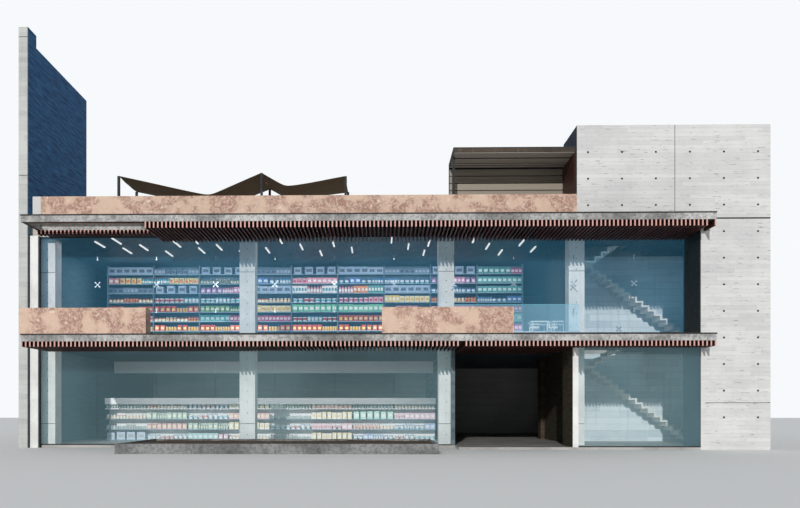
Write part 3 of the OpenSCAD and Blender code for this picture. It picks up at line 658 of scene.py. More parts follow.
def looks(way):
    """A test for faces: True for those that look along this direction."""
    return lambda face: face.normal.dot(Vector(way)) > 0.9


def ends_of(*tests):
    """A test for edges: True where every test holds at both ends."""
    return lambda edge: all(test(v.co) for v in edge.verts for test in tests)


def mark(piece, role):
    """Gives the selected faces a number, which later picks their colour."""
    mesh = bmesh.from_edit_mesh(piece.data)
    for face in mesh.faces:
        if face.select:
            face.material_index = role
    bmesh.update_edit_mesh(piece.data)


print("Helpers to start a piece ready")

# %% [markdown]
# The next helpers shape what is selected, close the work on a piece, and copy or join pieces. A
# finished piece gets its material and rides on the building, with its place kept in its mesh.

# %% Shape, finish and copy a piece
def inset(width, **settings):
    bpy.ops.mesh.inset(thickness=width, **settings)


def extrude(shift):
    bpy.ops.mesh.extrude_region_move(TRANSFORM_OT_translate={"value": shift})


def shift_by(shift):
    bpy.ops.transform.translate(value=shift)


def stretch(value, middle):
    bpy.ops.transform.resize(value=value, center_override=middle)


def round_edges(width):
    bpy.ops.mesh.bevel(offset=width, segments=2, affect="EDGES")


def leave_edit(smooth_below=None):
    """Back to object mode. Edges flatter than smooth_below are then shaded smooth."""
    bpy.ops.object.mode_set(mode="OBJECT")
    if smooth_below:
        bpy.ops.object.shade_smooth_by_angle(angle=math.radians(smooth_below))


def stud(sides, radius, depth, middle, way, push):
    """A rod with the face that looks along way set in by 4 mm and pushed, left in edit mode."""
    piece = rod(sides, radius, depth, middle, lying=way == FRONT)
    choose(piece, "faces", looks(way))
    inset(0.004)
    extrude(push)
    return piece


def apply_modifier(piece, kind, **settings):
    bpy.context.view_layer.objects.active = piece
    modifier = piece.modifiers.new(kind.lower(), kind)
    for name, value in settings.items():
        setattr(modifier, name, value)
    bpy.ops.object.modifier_apply(modifier=modifier.name)


def soften(piece, width):
    """Leaves edit mode, bevels the sharp edges and shades the piece smooth by angle."""
    bpy.context.view_layer.objects.active = piece
    leave_edit()
    bpy.ops.object.select_all(action="DESELECT")
    piece.select_set(True)
    sharp = math.radians(35)
    apply_modifier(piece, "BEVEL", width=width, segments=1, limit_method="ANGLE", angle_limit=sharp)
    bpy.ops.object.shade_smooth_by_angle(angle=math.radians(40))
    return piece


def join(parts, name):
    bpy.ops.object.select_all(action="DESELECT")
    for part in parts:
        part.select_set(True)
    bpy.context.view_layer.objects.active = parts[0]
    if len(parts) > 1:
        bpy.ops.object.join()
    parts[0].name = name
    return parts[0]


def copy_to(pattern, turn_and_move):
    """A copy of the pattern with its own mesh, turned and moved within it."""
    one = pattern.copy()
    one.data = pattern.data.copy()
    one.data.transform(turn_and_move)
    bpy.context.collection.objects.link(one)
    return one


def copies(pattern, name, shifts):
    """The pattern copied by each shift and joined into one piece. The pattern itself is put away."""
    made = [copy_to(pattern, Matrix.Translation(shift)) for shift in shifts]
    bpy.data.objects.remove(pattern)
    return join(made, name)


def fit(piece, finish):
    """Gives a finished piece its material by name and makes it ride on the building."""
    piece.data.materials.clear()
    piece.data.materials.append(FINISHES[finish])
    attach(piece, "root")
    return piece


def triangles(piece):
    return sum(len(face.vertices) - 2 for face in piece.data.polygons)


print("Helpers to shape and finish a piece ready")

# %% [markdown]
# ## Goods on the shelves
# Through the glass the shelves read as rows of small coloured packs. Six plain patterns are enough:
# a carton, a jar, a bottle, a bag, a can and a tub, each one unit wide, deep and high with a few
# dozen faces. Their faces carry a number for body, label and lid. A run of one product is a copy
# of its pattern in its own size, repeated by an Array modifier, and painted with three colours.

# %% Carton and bag
BODY, LABEL, LID = 0, 1, 2

carton = block("carton", (-0.5, 0, 0), (0.5, 1, 1))
choose(carton, "faces", looks(FRONT))
inset(0.16)
mark(carton, LABEL)
stretch((1, 1, 0.62), (0, 0, 0.46))
choose(carton, "faces", looks(UP))
mark(carton, LID)
inset(0.06)
shift_by((0, 0, -0.02))
leave_edit()

bag = block("bag", (-0.5, 0, 0), (0.5, 1, 0.82))
choose(bag, "faces", looks(FRONT))
inset(0.2)
mark(bag, LABEL)
shift_by((0, -0.05, 0))
choose(bag, "faces", looks(UP))
stretch((0.94, 0.3, 1), (0, 0.5, 0.82))
extrude((0, 0, 0.18))
stretch((1, 0.3, 1), (0, 0.5, 1))
mark(bag, LID)
leave_edit()
print("Carton and bag:", triangles(carton), triangles(bag), "triangles")

# %% [markdown]
# The round packs differ only in their outline. A short cylinder is the foot, and its top is drawn
# up step by step and widened or narrowed, as when a vessel is thrown.

# %% Jar, bottle, can and tub
def round_pack(name, base, steps):
    """base is the radius at the foot, and each step is (height, radius, role)."""
    top, radius, _ = steps[0]
    piece = rod(9, base, top, (0, 0.5, top / 2))
    piece.name = name
    choose(piece, "faces", looks(UP))
    stretch((radius / base, radius / base, 1), (0, 0.5, top))
    for height, wide, role in steps[1:]:
        choose(piece, "faces", lambda face: looks(UP)(face) and face.calc_center_median().z > top - 0.001)
        extrude((0, 0, height - top))
        stretch((wide / radius, wide / radius, 1), (0, 0.5, height))
        choose(piece, "faces", lambda face: face.calc_center_median().z > top + 0.001)
        mark(piece, role)
        top, radius = height, wide
    leave_edit(50)
    return piece


jar = round_pack("jar", 0.44, [(0.12, 0.5, BODY), (0.6, 0.5, LABEL), (0.76, 0.42, BODY), (1.0, 0.42, LID)])
bottle = round_pack(
    "bottle", 0.44,
    [(0.14, 0.46, BODY), (0.5, 0.46, LABEL), (0.66, 0.42, BODY), (0.86, 0.16, BODY), (1.0, 0.16, LID)],
)
can = round_pack("can", 0.42, [(0.06, 0.46, BODY), (0.92, 0.46, LABEL), (1.0, 0.42, LID)])
tub = round_pack("tub", 0.38, [(0.3, 0.42, BODY), (0.78, 0.46, LABEL), (0.8, 0.5, LID), (1.0, 0.5, LID)])
PATTERNS = {"carton": carton, "bag": bag, "jar": jar, "bottle": bottle, "can": can, "tub": tub}
print("Patterns:", {name: triangles(piece) for name, piece in PATTERNS.items()})

# %% [markdown]
# A packing's colour comes from the attribute `paint` that each run of goods carries. Faint pale and
# dark print keeps it from being flat. Downstairs the goods stand in daylight behind tinted
# glass and look washed out, so their packing is mixed with a pale grey: a painted wash of light.

# %% Printed packing
def packing(name, paler):
    """Printed packing in the colours of the attribute paint, mixed by paler with a pale grey of painted
    light.
    """
    shader, where = start_finish(name, 0.45)
    paint = place(where.id_data, "Attribute", attribute_name="paint")["Color"]
    prints = soft_noise(where, 26.0, 3.0)
    colour = mix(paler, paint, rgb(206, 216, 220))
    colour = mix(ramp(prints, 0.55, 0.62, 0.0, 0.22), colour, rgb(250, 250, 248))
    colour = mix(ramp(prints, 0.42, 0.34, 0.0, 0.30), colour, rgb(46, 52, 66))
    coat(shader, colour, ramp(prints, 0.3, 0.7, 0.32, 0.55), prints, 0.001)


packing("printed_packing", 0.0)
# The pale grey mixed in downstairs is a painted wash of daylight.
packing("daylight_washed_packing", 0.55)
print("Packing:", list(FINISHES)[-2:])

# %% [markdown]
# Each kind of shelf is a short list of products. A line names the pattern, its width, depth and
# height in centimetres, and the colours of body, label and lid. A shop fills a shelf by kind, so the
# plans below name one kind for each bay of each shelf, from the left.

# %% Products
KIND_LINES = {
    "crates": """
        carton 34 40 36  150 176 208  66 82 108  170 190 214
        carton 31 40 33  164 186 214  84 100 126  180 198 220""",
    "dark_packs": """
        carton 20 35 24  92 118 150  50 66 92  116 138 164
        carton 16 35 27  104 128 160  156 174 196  116 138 164""",
    "bright": """
        bottle 10 10 30  60 190 214  240 244 246  206 60 132
        bag 20 16 29  246 226 150  232 120 46  246 226 150
        carton 19 30 28  238 150 160  250 246 220  224 88 110
        bag 18 16 30  240 180 60  250 240 214  196 70 40""",
    "tins": """
        can 11 11 15  150 166 158  118 146 132  196 204 204
        can 10 10 24  164 172 176  128 138 122  204 210 212
        jar 13 13 20  120 140 116  190 196 180  90 104 96""",
    "blue": """
        carton 22 30 28  44 112 196  214 232 246  34 84 160
        tub 19 19 20  90 186 220  232 242 248  40 110 180
        bottle 11 11 31  80 150 206  226 236 244  30 70 140""",
    "violet": """
        carton 17 30 30  198 130 176  246 228 238  150 90 150
        bag 20 16 28  164 116 176  232 214 236  130 84 150
        bottle 10 10 30  214 150 190  246 236 244  160 70 130""",
    "tall": """
        carton 14 25 36  48 150 150  236 240 236  38 120 124
        carton 15 25 34  236 132 60  250 240 222  206 100 44
        bottle 12 12 35  236 170 184  250 246 246  210 90 120
        carton 13 25 35  236 238 238  60 140 160  220 224 224""",
    "jars": """
        jar 14 14 20  232 142 50  248 230 186  250 246 236
        jar 13 13 23  226 186 120  222 110 44  190 70 40
        jar 15 15 18  240 206 140  250 244 226  226 120 50""",
    "tubs": """
        tub 20 20 19  236 242 246  110 196 214  246 248 250
        tub 17 17 24  190 224 236  240 246 248  70 160 196
        tub 20 20 20  240 240 236  210 70 70  236 240 244""",
    "mint": """
        carton 22 30 36  112 202 160  240 248 244  84 180 138
        carton 22 30 34  130 212 172  246 250 246  90 186 144""",
    "green": """
        bottle 11 11 31  74 140 84  214 226 180  50 100 60
        carton 18 30 30  108 160 92  236 240 210  80 130 72""",
    "pink": """
        carton 20 30 28  236 146 170  250 238 242  220 110 144
        bag 20 16 27  242 176 190  200 60 100  236 146 170
        tub 18 18 22  246 214 222  222 100 140  250 240 242""",
    "sunny": """
        carton 19 30 30  250 236 190  240 190 70  204 58 48
        carton 17 30 33  246 214 110  250 244 226  196 60 46""",
    "warm": """
        bag 20 16 29  206 60 44  250 222 120  206 60 44
        can 11 11 20  222 110 50  240 190 80  220 220 216
        carton 18 30 27  226 92 50  250 226 170  196 66 40""",
    "teal": """
        carton 21 30 31  60 156 158  206 236 234  44 128 132
        carton 17 30 27  196 72 130  246 226 236  44 128 132""",
}


def product(line):
    pattern, *numbers = line.split()
    width, depth, height, *parts = map(int, numbers)
    colours = [rgb(*parts[i:i + 3]) for i in (0, 3, 6)]
    return pattern, (width / 100, depth / 100, height / 100), colours


KINDS = {
    kind: [product(line) for line in lines.strip().splitlines()]
    for kind, lines in KIND_LINES.items()
}
print("Kinds of goods:", len(KINDS), "products:", sum(map(len, KINDS.values())))

# %% [markdown]
# Each run gets its colours as a colour attribute on its face corners, picked by the face's number.
# The goods stand with a small gap beside each other and a little back from the shelf's edge, and a
# random order that is fixed by its seed picks the runs inside a bay.

# %% Fill a shelf
def paint_run(piece, colours):
    """Writes body, label and lid colours onto the face corners."""
    layer = piece.data.color_attributes.new(name="paint", type="BYTE_COLOR", domain="CORNER")
    for face in piece.data.polygons:
        for corner in face.loop_indices:
            layer.data[corner].color = colours[face.material_index]
        face.material_index = 0


def run_of(goods, left, right, front, floor_z):
    """One product side by side from left to right, as one object."""
    pattern, (width, depth, height), colours = goods
    count = max(1, int((right - left) / (width + 0.004)))
    step = (right - left) / count
    wide = min(step - 0.006, width * 1.15)
    seat = Matrix.Translation((left + step / 2, front, floor_z)) @ Matrix.Diagonal((wide, depth, height, 1))
    one = copy_to(PATTERNS[pattern], seat)
    paint_run(one, colours)
    apply_modifier(
        one, "ARRAY", count=count, use_relative_offset=False, use_constant_offset=True,
        constant_offset_displace=(step, 0, 0),
    )
    return one


def fill_shelf(name, bays, kinds, front, floor_z, finish):
    """Fills the bays of one shelf, each with its kind of goods in three or four runs."""
    runs = []
    for (left, right), kind in zip(bays, kinds):
        cuts = luck.choice((3, 4))
        for cut in range(cuts):
            low = left + (right - left) * cut / cuts
            high = left + (right - left) * (cut + 1) / cuts
            goods = luck.choice(KINDS[kind])
            runs.append(run_of(goods, low, high, front + luck.uniform(0.01, 0.04), floor_z))
    return fit(join(runs, name), finish)


luck = random.Random(7)
print("Ready to fill shelves")

# %% [markdown]
# The tall shelving upstairs has eight levels with crates and reserves at the top, and the low
# shelving downstairs has four. Their bays and levels follow the CAD shelving. A plan's first line
# is the lowest shelf. Each shelving is a row of values: the storey, its plan and bays, the front of
# its goods, its lowest shelf and the step to the next, and the packing.

# %% Tall and low shelving
BAY, BOARD, PITCH, PLINTH = 2.26, 0.04, 0.46, 0.29
LOW_BAYS, LOW_LEVELS = 8, 4
FIRST_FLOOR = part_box("first_floor_slab")[1].z
GROUND_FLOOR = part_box("ground_slab")[1].z
tall_low, tall_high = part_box("tall_shelving")
low_low, low_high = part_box("low_shelving")
last = round((tall_high.x - tall_low.x) / BAY) - 1
tall_bays = []
for i in range(last + 1):
    right = tall_low.x + (i + 1) * BAY - (BOARD if i == last else 0) - 0.01
    tall_bays.append((tall_low.x + i * BAY + BOARD + 0.01, right))
low_pitch = (low_high.z - GROUND_FLOOR - BOARD) / LOW_LEVELS
low_step = (low_high.x - low_low.x) / LOW_BAYS
low_bays = [
    (low_low.x + i * low_step + 0.02, low_low.x + (i + 1) * low_step - 0.02) for i in range(LOW_BAYS)
]
TALL_PLAN = """
sunny mint tubs pink warm jars blue sunny teal
warm warm warm warm warm warm warm warm teal
pink jars teal teal tubs warm sunny teal mint
warm warm green sunny mint mint pink pink teal
jars tubs tubs jars tubs pink sunny jars blue
dark_packs crates violet crates tall tall crates blue teal
bright bright tins blue pink blue blue violet teal
crates dark_packs crates dark_packs crates crates dark_packs crates teal
""".strip().splitlines()
LOW_PLAN = """
crates tubs teal jars tins sunny blue tubs
tins warm green sunny tubs pink jars blue
jars green tubs warm tins sunny mint pink
tins jars tubs sunny green warm tins jars
""".strip().splitlines()
SHELVINGS = (
    ("upstairs", TALL_PLAN, tall_bays, tall_low.y + 0.02, FIRST_FLOOR + PLINTH, PITCH, "printed_packing"),
    ("downstairs", LOW_PLAN, low_bays, low_low.y + 0.05, GROUND_FLOOR + BOARD, low_pitch, "daylight_washed_packing"),
)
for storey, plan, bays, front, lowest, pitch, finish in SHELVINGS:
    made = []
    for level, kinds in enumerate(plan):
        name = f"goods_{storey}_{level + 1}"
        made.append(fill_shelf(name, bays, kinds.split(), front, lowest + level * pitch, finish))
    print("Goods", storey + ":", [triangles(piece) for piece in made])
for pattern in PATTERNS.values():
    bpy.data.objects.remove(pattern)

# %% [markdown]
# A price rail runs along the front of every shelf: a slim strip with a sloping face, so that it
# can be read from above. It is a thin block whose lower front edge is pushed out.

# %% Price rails
def price_rail(left, right, front, top):
    rail = block("rail", (left, front - 0.012, top - 0.04), (right, front, top))
    choose(rail, "edges", ends_of(lambda co: co.y < front - 0.01, lambda co: co.z < top - 0.02))
    shift_by((0, -0.01, 0))
    choose(rail, "faces", looks((0, -0.9, 0.3)))
    inset(0.004)
    shift_by((0, 0.002, 0))
    return soften(rail, 0.001)


tall_rails = [
    price_rail(left, right, tall_low.y + 0.02, FIRST_FLOOR + PLINTH + level * PITCH)
    for level in range(len(TALL_PLAN)) for left, right in tall_bays
]
low_rails = [
    price_rail(low_low.x, low_high.x, low_low.y + 0.02, GROUND_FLOOR + BOARD + level * low_pitch)
    for level in range(LOW_LEVELS - 1)
]
print("Price rails:", len(tall_rails) + len(low_rails))
fit(join(tall_rails, "tall_price_rails"), "rail_metal")
fit(join(low_rails, "low_price_rails"), "shelf_metal")

# %% [markdown]
# ## Tie holes
# The rods that held the casting boards together leave round holes in the concrete, closed with a
# dished plug. One plug is modelled, its front face set in and pushed back, and then copied to the
# grid of holes on the tower and up the middle of each column. Above the canopy the tower shows all
# six lines of holes, and below it only the strip at the right is concrete.

# %% Tie plugs
HOLE_XS = (7.93, 9.24, 10.55, 11.86, 13.17, 14.48)
HOLE_ZS = [11.57 - 1.03 * row for row in range(11)]
STRIP_LEFT = 12.28
COLUMN_XS = (-14.1, -5.7, 2.595, 7.985)
COLUMN_HOLE_PITCH = 0.455


def tie_plug_pattern(radius):
    piece = stud(12, radius, 0.006, (0, -0.003, 0), FRONT, (0, 0.004, 0))
    stretch((0.8, 1, 0.8), (0, 0, 0))
    leave_edit(40)
    return piece


shader, where = start_finish("tie_plug", 0.85)
speck = soft_noise(where, 40.0, 4.0)
coat(shader, mix(speck, rgb(8, 9, 11), rgb(26, 27, 30)), height=speck, distance=0.002)

tower_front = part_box("tower_front_wall")[0].y
tower_holes = [
    (x, tower_front, z) for x in HOLE_XS for z in HOLE_ZS if z > CAP_TOP + 0.2 or x > STRIP_LEFT + 0.2
]
fit(copies(tie_plug_pattern(0.04), "tower_tie_plugs", tower_holes), "tie_plug")

column_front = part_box("upper_columns")[0].y
column_holes = []
for node in ("ground_columns", "upper_columns"):
    low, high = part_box(node)
    z = low.z + 0.42
    while z < high.z - 0.1:
        column_holes += [(x, column_front, z) for x in COLUMN_XS]
        z += COLUMN_HOLE_PITCH
fit(copies(tie_plug_pattern(0.02), "column_tie_plugs", column_holes), "tie_plug")
print("Tie plugs:", len(tower_holes), "+", len(column_holes))

# %% [markdown]
# ## Glass fittings
# The guard upstairs is one pane high, so its foot is clamped between two metal cheeks with a row of
# bolts, and its polished top edge catches the light in turquoise. The big panes of the fronts stand
# in the same kind of cheeks, slimmer, at foot and head. A cheek is a block along the glass with its
# free edge bevelled.

# %% Guard fittings
def cheeks(glass, z, rise, thick, rounding):
    """Two cheeks along a pane, from the height z up or down by rise."""
    low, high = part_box(glass)
    made = []
    for y0, y1 in ((low.y - thick, low.y), (high.y, high.y + thick)):
        cheek = block("cheek", (low.x, y0, min(z, z + rise)), (high.x, y1, max(z, z + rise)))
        choose(cheek, "edges", ends_of(lambda co: abs(co.z - z - rise) < 0.001))
        round_edges(rounding)
        made.append(soften(cheek, 0.001))
    return made


BOLT_COUNT = 12
guard_low, guard_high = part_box("glass_guard")
bolt = stud(6, 0.016, 0.01, (0, guard_low.y - 0.019, guard_low.z + 0.055), FRONT, (0, -0.003, 0))
leave_edit()
bolts = copies(bolt, "bolts", [(guard_low.x + 0.2 + 0.42 * i, 0, 0) for i in range(BOLT_COUNT)])
guard_cheeks = cheeks("glass_guard", guard_low.z, rise=0.11, thick=0.014, rounding=0.005)
fit(join([*guard_cheeks, bolts], "guard_clamps"), "steel")

shader, where = start_finish("guard_edge_glass", 0.2)
shine = soft_noise(where, 1.5, 3.0)
coat(shader, mix(shine, rgb(70, 196, 204), rgb(150, 232, 232)), ramp(shine, 0.3, 0.7, 0.12, 0.3))
edge_low = (guard_low.x, guard_low.y, guard_high.z)
edge = block("guard_edge", edge_low, (guard_high.x, guard_high.y, guard_high.z + 0.012))
choose(edge, "edges", ends_of(lambda co: co.z > guard_high.z + 0.01))
round_edges(0.004)
fit(soften(edge, 0.0005), "guard_edge_glass")
print("Guard from", guard_low.x, "to", guard_high.x)

# %% [markdown]
# The channels of the fronts are two pairs of cheeks for each pane, one at its foot and one at its
# head.

# %% Glass channels
CHANNEL = {"thick": 0.02, "rounding": 0.006}
channels = []
for glass in ("upper_glass", "shop_glass", "lobby_glass"):
    low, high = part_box(glass)
    channels += cheeks(glass, low.z, rise=0.045, **CHANNEL)
    channels += cheeks(glass, high.z, rise=-0.035, **CHANNEL)
print("Channels:", len(channels))
fit(join(channels, "glass_channels"), "dark_metal")

# %% [markdown]
# ## Frames
# A window or door frame is a block whose two faces are inset and bridged, so a square ring is left.
# The rear windows also have a bar in the middle and a sill that slopes outwards. One window is
# modelled and copied to the others.

# %% Rear windows and roof door
def ring(name, low, high, axis, width, rounding):
    """A block opened into a ring: both faces along the axis are inset, then bridged through."""
    piece = block(name, low, high)
    choose(piece, "faces", lambda face: abs(face.normal[axis]) > 0.9)
    inset(width, use_even_offset=True)
    bpy.ops.mesh.bridge_edge_loops()
    return soften(piece, rounding)


Y_AXIS, Z_AXIS = 1, 2
FRAME_WIDTH = 0.05
pane_low, pane_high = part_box("rear_windows")
rear_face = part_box("rear_wall")[1].y
edges_x = sorted({round(point.co.x, 3) for point in nodes["rear_windows"].data.vertices})
lefts = edges_x[::2]
left, right = edges_x[:2]
middle = (left + right) / 2
shifts = [(x - left, 0, 0) for x in lefts]

low, high = (left, pane_low.y - 0.03, pane_low.z), (right, pane_high.y + 0.03, pane_high.z)
window = ring("window", low, high, Y_AXIS, FRAME_WIDTH, rounding=0.003)
low = (middle - 0.02, pane_high.y, pane_low.z + FRAME_WIDTH)
high = (middle + 0.02, pane_high.y + 0.025, pane_high.z - FRAME_WIDTH)
window = join([window, soften(block("bar", low, high), 0.003)], "window")
fit(copies(window, "rear_window_frames", shifts), "dark_metal")

sill = block("sill", (left, pane_high.y + 0.03, pane_low.z), (right, rear_face, pane_low.z + 0.03))
choose(sill, "edges", ends_of(lambda co: co.z > pane_low.z + 0.02, lambda co: co.y > rear_face - 0.01))
shift_by((0, 0, -0.018))
fit(copies(soften(sill, 0.003), "rear_window_sills", shifts), "pale_concrete")
print("Rear windows:", len(lefts))

DOOR_WIDTH, DOOR_HEIGHT, DOOR_FROM_SIDE = 1.0, 2.1, 2.6
door_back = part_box("stair_back_wall")[1].y
door_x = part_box("right_wall")[0].x - DOOR_FROM_SIDE
low = (door_x, door_back - 0.16, ROOF_LEVEL)
high = (door_x + DOOR_WIDTH, door_back - 0.04, ROOF_LEVEL + DOOR_HEIGHT)
fit(ring("roof_door_frame", low, high, Y_AXIS, width=0.06, rounding=0.003), "dark_metal")
print("Door frame at", round(door_x, 3))

# %% [markdown]
# The metal caps of the canopies come in lengths, and a cover strip hides each joint between them:
# a thin block over the cap's top whose front edge is drawn down over its face.

# %% Cap strips
CAP_LENGTHS = 9


def cap_strips(cap):
    low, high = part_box(cap)
    strip = block("strip", (-0.03, low.y, high.z), (0.03, low.y + 0.17, high.z + 0.003))
    choose(strip, "faces", looks(FRONT))
    extrude((0, -0.003, 0))
    choose(strip, "faces", lambda face: face.normal.z < -0.9 and face.calc_center_median().y < low.y)
    extrude((0, 0, low.z - high.z))
    step = (high.x - low.x) / CAP_LENGTHS
    joints = [(low.x + step * i, 0, 0) for i in range(1, CAP_LENGTHS)]
    return copies(soften(strip, 0.0008), cap + "_strips", joints)


for cap in ("upper_canopy_cap", "lower_canopy_cap"):
    fit(cap_strips(cap), "dark_metal")
    print("Strips on", cap + ":", CAP_LENGTHS - 1)

# %% [markdown]
# ## Pavilion boards
# Broad boards run along the pavilion's ceiling with dark gaps between them, and narrower ones cover
# its back wall and the tower's side. Each board is a block with its long edges bevelled, and a
# lining above the ceiling boards closes the gaps. The lining and the walls behind the boards are
# near-black: painted shade in the gaps.

# %% Pavilion boards
WALL_T, CLADDING = 0.12, 0.04
BACK_BOARD, BACK_PITCH = 0.27, 0.30
SIDE_BOARD, SIDE_PITCH = 0.13, 0.142
roof_low, roof_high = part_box("pavilion_roof")
wall_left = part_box("pavilion_walls")[0].x
back_face = roof_high.y - WALL_T
side_face = roof_high.x - CLADDING


def plank(low, high):
    return soften(block("board", low, high), 0.006)


def courses(height, pitch, lowest):
    """The tops of wall boards from the ceiling down, as far as they fit above lowest."""
    top = roof_low.z - 0.05
    while top - height > lowest:
        yield top
        top -= pitch


ceiling_boards = []
at = roof_low.y + 0.03
for width, gap in ((0.62, 0.18), (0.52, 0.12), (0.15, 0.12), (0.20, 0.0)):
    low = (roof_low.x + 0.03, at, roof_low.z - 0.022)
    ceiling_boards.append(plank(low, (side_face, at + width, roof_low.z)))
    at += width + gap
back_boards = [
    plank((wall_left + 0.02, back_face - 0.018, top - BACK_BOARD), (side_face, back_face, top))
    for top in courses(BACK_BOARD, BACK_PITCH, ROOF_LEVEL)
]
back_boards += [copy_to(board, Matrix.Translation((0, WALL_T + 0.018, 0))) for board in back_boards]
fit(join(ceiling_boards, "pavilion_ceiling_boards"), "plank_timber")
fit(join(back_boards, "pavilion_back_boards"), "wall_timber")

# The lining's near-black is painted shade in the gaps between the ceiling boards.
lining_low = (roof_low.x + 0.02, roof_low.y + 0.02, roof_low.z - 0.006)
lining = block("lining", lining_low, (side_face, back_face, roof_low.z))
choose(lining, "faces", looks((0, 0, -1)))
inset(0.02)
leave_edit()
fit(lining, "gap_shade_backing")
side_boards = [
    plank((side_face - 0.016, roof_low.y + 0.02, top - SIDE_BOARD), (side_face, back_face - 0.02, top))
    for top in courses(SIDE_BOARD, SIDE_PITCH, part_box("roof_planter")[1].z)
]
print("Boards:", len(ceiling_boards), len(back_boards), len(side_boards))
fit(join(side_boards, "pavilion_side_boards"), "side_timber")

# %% [markdown]
# ## Shade sails
# Two cloth sails are stretched between the tops of six posts. The canvas is pale above, and its
# underside is painted brown as shade, with a fine weave from two crossing waves.

# %% Sail cloth
shader, where = start_finish("sail_canvas", 0.85)
axes = split(where)
warp, weft = (times(maths("SINE", times(axes[axis], 900.0)), 0.5) for axis in "XY")
weave = times(warp, weft)
weathered = soft_noise(where, 1.2, 6.0)
above = mix(weathered, rgb(214, 198, 170), rgb(236, 224, 200))
shade_below = mix(weathered, rgb(104, 84, 62), rgb(140, 116, 88))
# The underside takes a brown of painted shade, and the top the canvas's own pale colour.
colour = mix(ramp(facing_of(where)["Z"], -0.2, 0.2), shade_below, above)
colour = mix(ramp(weave, -0.2, 0.2, 0.0, 0.12), colour, rgb(90, 76, 58))
coat(shader, colour, ramp(weathered, 0.3, 0.7, 0.75, 0.95), weave, 0.0008)
print("Cloth:", FINISHES["sail_canvas"].name)

# %% [markdown]
# A sail's weight and its cut pull it into a soft valley, so each sheet is a fine grid whose points
# are moved onto that curve: two straight falls that meet in a rounded valley, a slight belly between
# its long edges, and hollow edges. It is stretched too tight for a cloth simulation to add anything.

# %% Sails
POST = 0.1
VALLEY_ROUNDING = 0.07


def valley(x, ends, low_point):
    """Height at x on two straight falls from the ends that meet in a rounded valley."""
    (x0, z0), (x1, z1) = ends
    xm, zm = low_point
    left = z0 + (zm - z0) * (x - x0) / (xm - x0)
    right = z1 + (zm - z1) * (x1 - x) / (x1 - xm)
    return VALLEY_ROUNDING * math.log(math.exp(left / VALLEY_ROUNDING) + math.exp(right / VALLEY_ROUNDING))


def turn_outwards(piece):
    """Opens a closed shell in edit mode and turns all its faces outwards."""
    choose(piece, "faces", lambda face: True)
    bpy.ops.mesh.normals_make_consistent(inside=False)


def sail(name, ends, low_point, front, back):
    """One sheet of cloth between two pairs of posts."""
    (x0, _), (x1, _) = ends
    bpy.ops.object.select_all(action="DESELECT")
    bpy.ops.mesh.primitive_grid_add(x_subdivisions=56, y_subdivisions=22, size=1)
    cloth = bpy.context.active_object
    cloth.name = name
    for point in cloth.data.vertices:
        u, v = point.co.x + 0.5, point.co.y + 0.5
        x = x0 + (x1 - x0) * u
        hollow = 0.11 * math.sin(math.pi * u) * (1 - 2 * v)
        belly = 0.03 * math.sin(math.pi * v)
        ripple = 0.006 * math.sin(9 * u + 14 * v)
        point.co = (x, front + (back - front) * v + hollow, valley(x, ends, low_point) - belly + ripple)
    apply_modifier(cloth, "SOLIDIFY", thickness=0.003)
    turn_outwards(cloth)
    leave_edit(60)
    return cloth


sail_low, sail_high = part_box("shade_sails")
sail_x = sail_low.x
for name, x0, z0, xm, zm, x1, z1 in (
    ("left_sail", POST / 2, 2.33, 3.95, 1.50, 6.15 + POST / 2, 2.43),
    ("right_sail", 6.15 + POST / 2, 2.43, 7.2, 1.86, 9.85 - POST / 2, 2.27),
):
    ends = ((sail_x + x0, ROOF_LEVEL + z0), (sail_x + x1, ROOF_LEVEL + z1))
    cloth = sail(name, ends, (sail_x + xm, ROOF_LEVEL + zm), sail_low.y + 0.01, sail_high.y - 0.01)
    length = math.hypot(xm - x0, z0 - zm) + math.hypot(x1 - xm, z1 - zm)
    width = sail_high.y - sail_low.y - 0.02
    fit(cloth, "sail_canvas")
    print(name, "cut to", round(width, 2), "by", round(length, 2))
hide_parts("shade_sails")

# %% [markdown]
# Each post stands on a square base plate with four bolts. The plate is a ring like the window
# frames, lying flat, so the post passes through it.

# %% Post plates
PLATE, PLATE_HOLE, PLATE_THICK = 0.24, 0.102, 0.014
NUT_OUT = 0.088

half = PLATE / 2
plate = ring("plate", (-half, -half, 0), (half, half, PLATE_THICK), Z_AXIS, (PLATE - PLATE_HOLE) / 2, 0.002)
parts = [plate]
for x, y in ((-1, -1), (-1, 1), (1, -1), (1, 1)):
    parts.append(stud(6, 0.012, 0.01, (x * NUT_OUT, y * NUT_OUT, PLATE_THICK + 0.005), UP, (0, 0, 0.008)))
    leave_edit()
post_places = [
    (sail_x + offset + POST / 2, y + POST / 2, ROOF_LEVEL)
    for offset in (0, 6.15, 9.75) for y in (sail_low.y, sail_high.y - POST)
]
fit(copies(join(parts, "base_plate"), "post_base_plates", post_places), "dark_metal")
print("Base plates:", len(post_places))

# %% [markdown]
# ## Planter beds
# Each planter is filled with soil to a hand below its rim. A bed is a fine grid drawn down into a
# closed block, and its top is raised and lowered by two sizes of noise. A bed is given by its ends,
# its planter, the planter's wall, how far it lies below the rim, and the grid's cell.

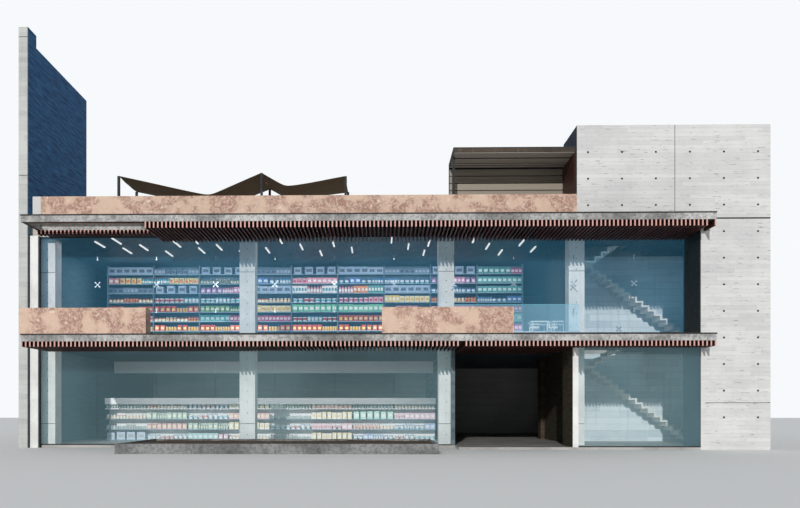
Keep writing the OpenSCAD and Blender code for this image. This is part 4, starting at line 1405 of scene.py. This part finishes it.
# %% Soil
shader, where = start_finish("soil_earth", 0.95)
clods = soft_noise(where, 14.0, 8.0, 0.7)
crumbs = place(where.id_data, "TexVoronoi", {"Vector": where, "Scale": 45.0})["Distance"]
colour = mix(ramp(clods, 0.3, 0.7), rgb(52, 40, 30), rgb(104, 84, 64))
colour = mix(ramp(crumbs, 0.1, 0.3, 0.3, 0.0), colour, rgb(150, 132, 108))
coat(shader, colour, ramp(clods, 0.3, 0.7, 0.85, 1.0), plus(clods, crumbs), 0.01)


def soil_bed(name, low, high, cell):
    """Soil between two corners: high.z is the mean height of its uneven top."""
    wide, deep = high[0] - low[0], high[1] - low[1]
    bpy.ops.object.select_all(action="DESELECT")
    bpy.ops.mesh.primitive_grid_add(
        x_subdivisions=max(2, round(wide / cell)), y_subdivisions=max(2, round(deep / cell)), size=1,
        location=((low[0] + high[0]) / 2, (low[1] + high[1]) / 2, high[2]),
    )
    bed = bpy.context.active_object
    bed.name = name
    bed.scale = (wide, deep, 1)
    apply_place()
    choose(bed, "faces", lambda face: True)
    extrude((0, 0, low[2] - high[2]))
    turn_outwards(bed)
    leave_edit()
    for point in bed.data.vertices:
        if point.co.z > high[2] - 0.001:
            spot = Vector((point.co.x, point.co.y, 0))
            point.co.z += 0.05 * noise.noise(spot * 1.1) + 0.025 * noise.noise(spot * 6)
    bpy.ops.object.shade_smooth_by_angle(angle=math.radians(50))
    return fit(bed, "soil_earth")


STONE_T, EDGE_T = 0.08, 0.12
LEFT_LEDGE_END, RIGHT_LEDGE_START = -9.05, -0.08
roof_bed, ledges, ground = (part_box(name) for name in ("roof_planter", "canopy_planters", "ground_planter"))
BEDS = (
    ("roof_soil", END_BLOCK, roof_bed[1].x, roof_bed, STONE_T, 0.12, 0.09),
    ("left_ledge_soil", ledges[0].x, LEFT_LEDGE_END, ledges, STONE_T, 0.12, 0.09),
    ("right_ledge_soil", RIGHT_LEDGE_START, ledges[1].x, ledges, STONE_T, 0.12, 0.09),
    ("ground_soil", ground[0].x, ground[1].x, ground, EDGE_T, 0.07, 0.16),
)
beds = []
for name, left, right, (low, high), wall, below_rim, cell in BEDS:
    corner = (left + wall, low.y + wall, low.z + wall)
    beds.append(soil_bed(name, corner, (right - wall, high.y - wall, high.z - below_rim), cell))
print("Soil beds:", [triangles(bed) for bed in beds])
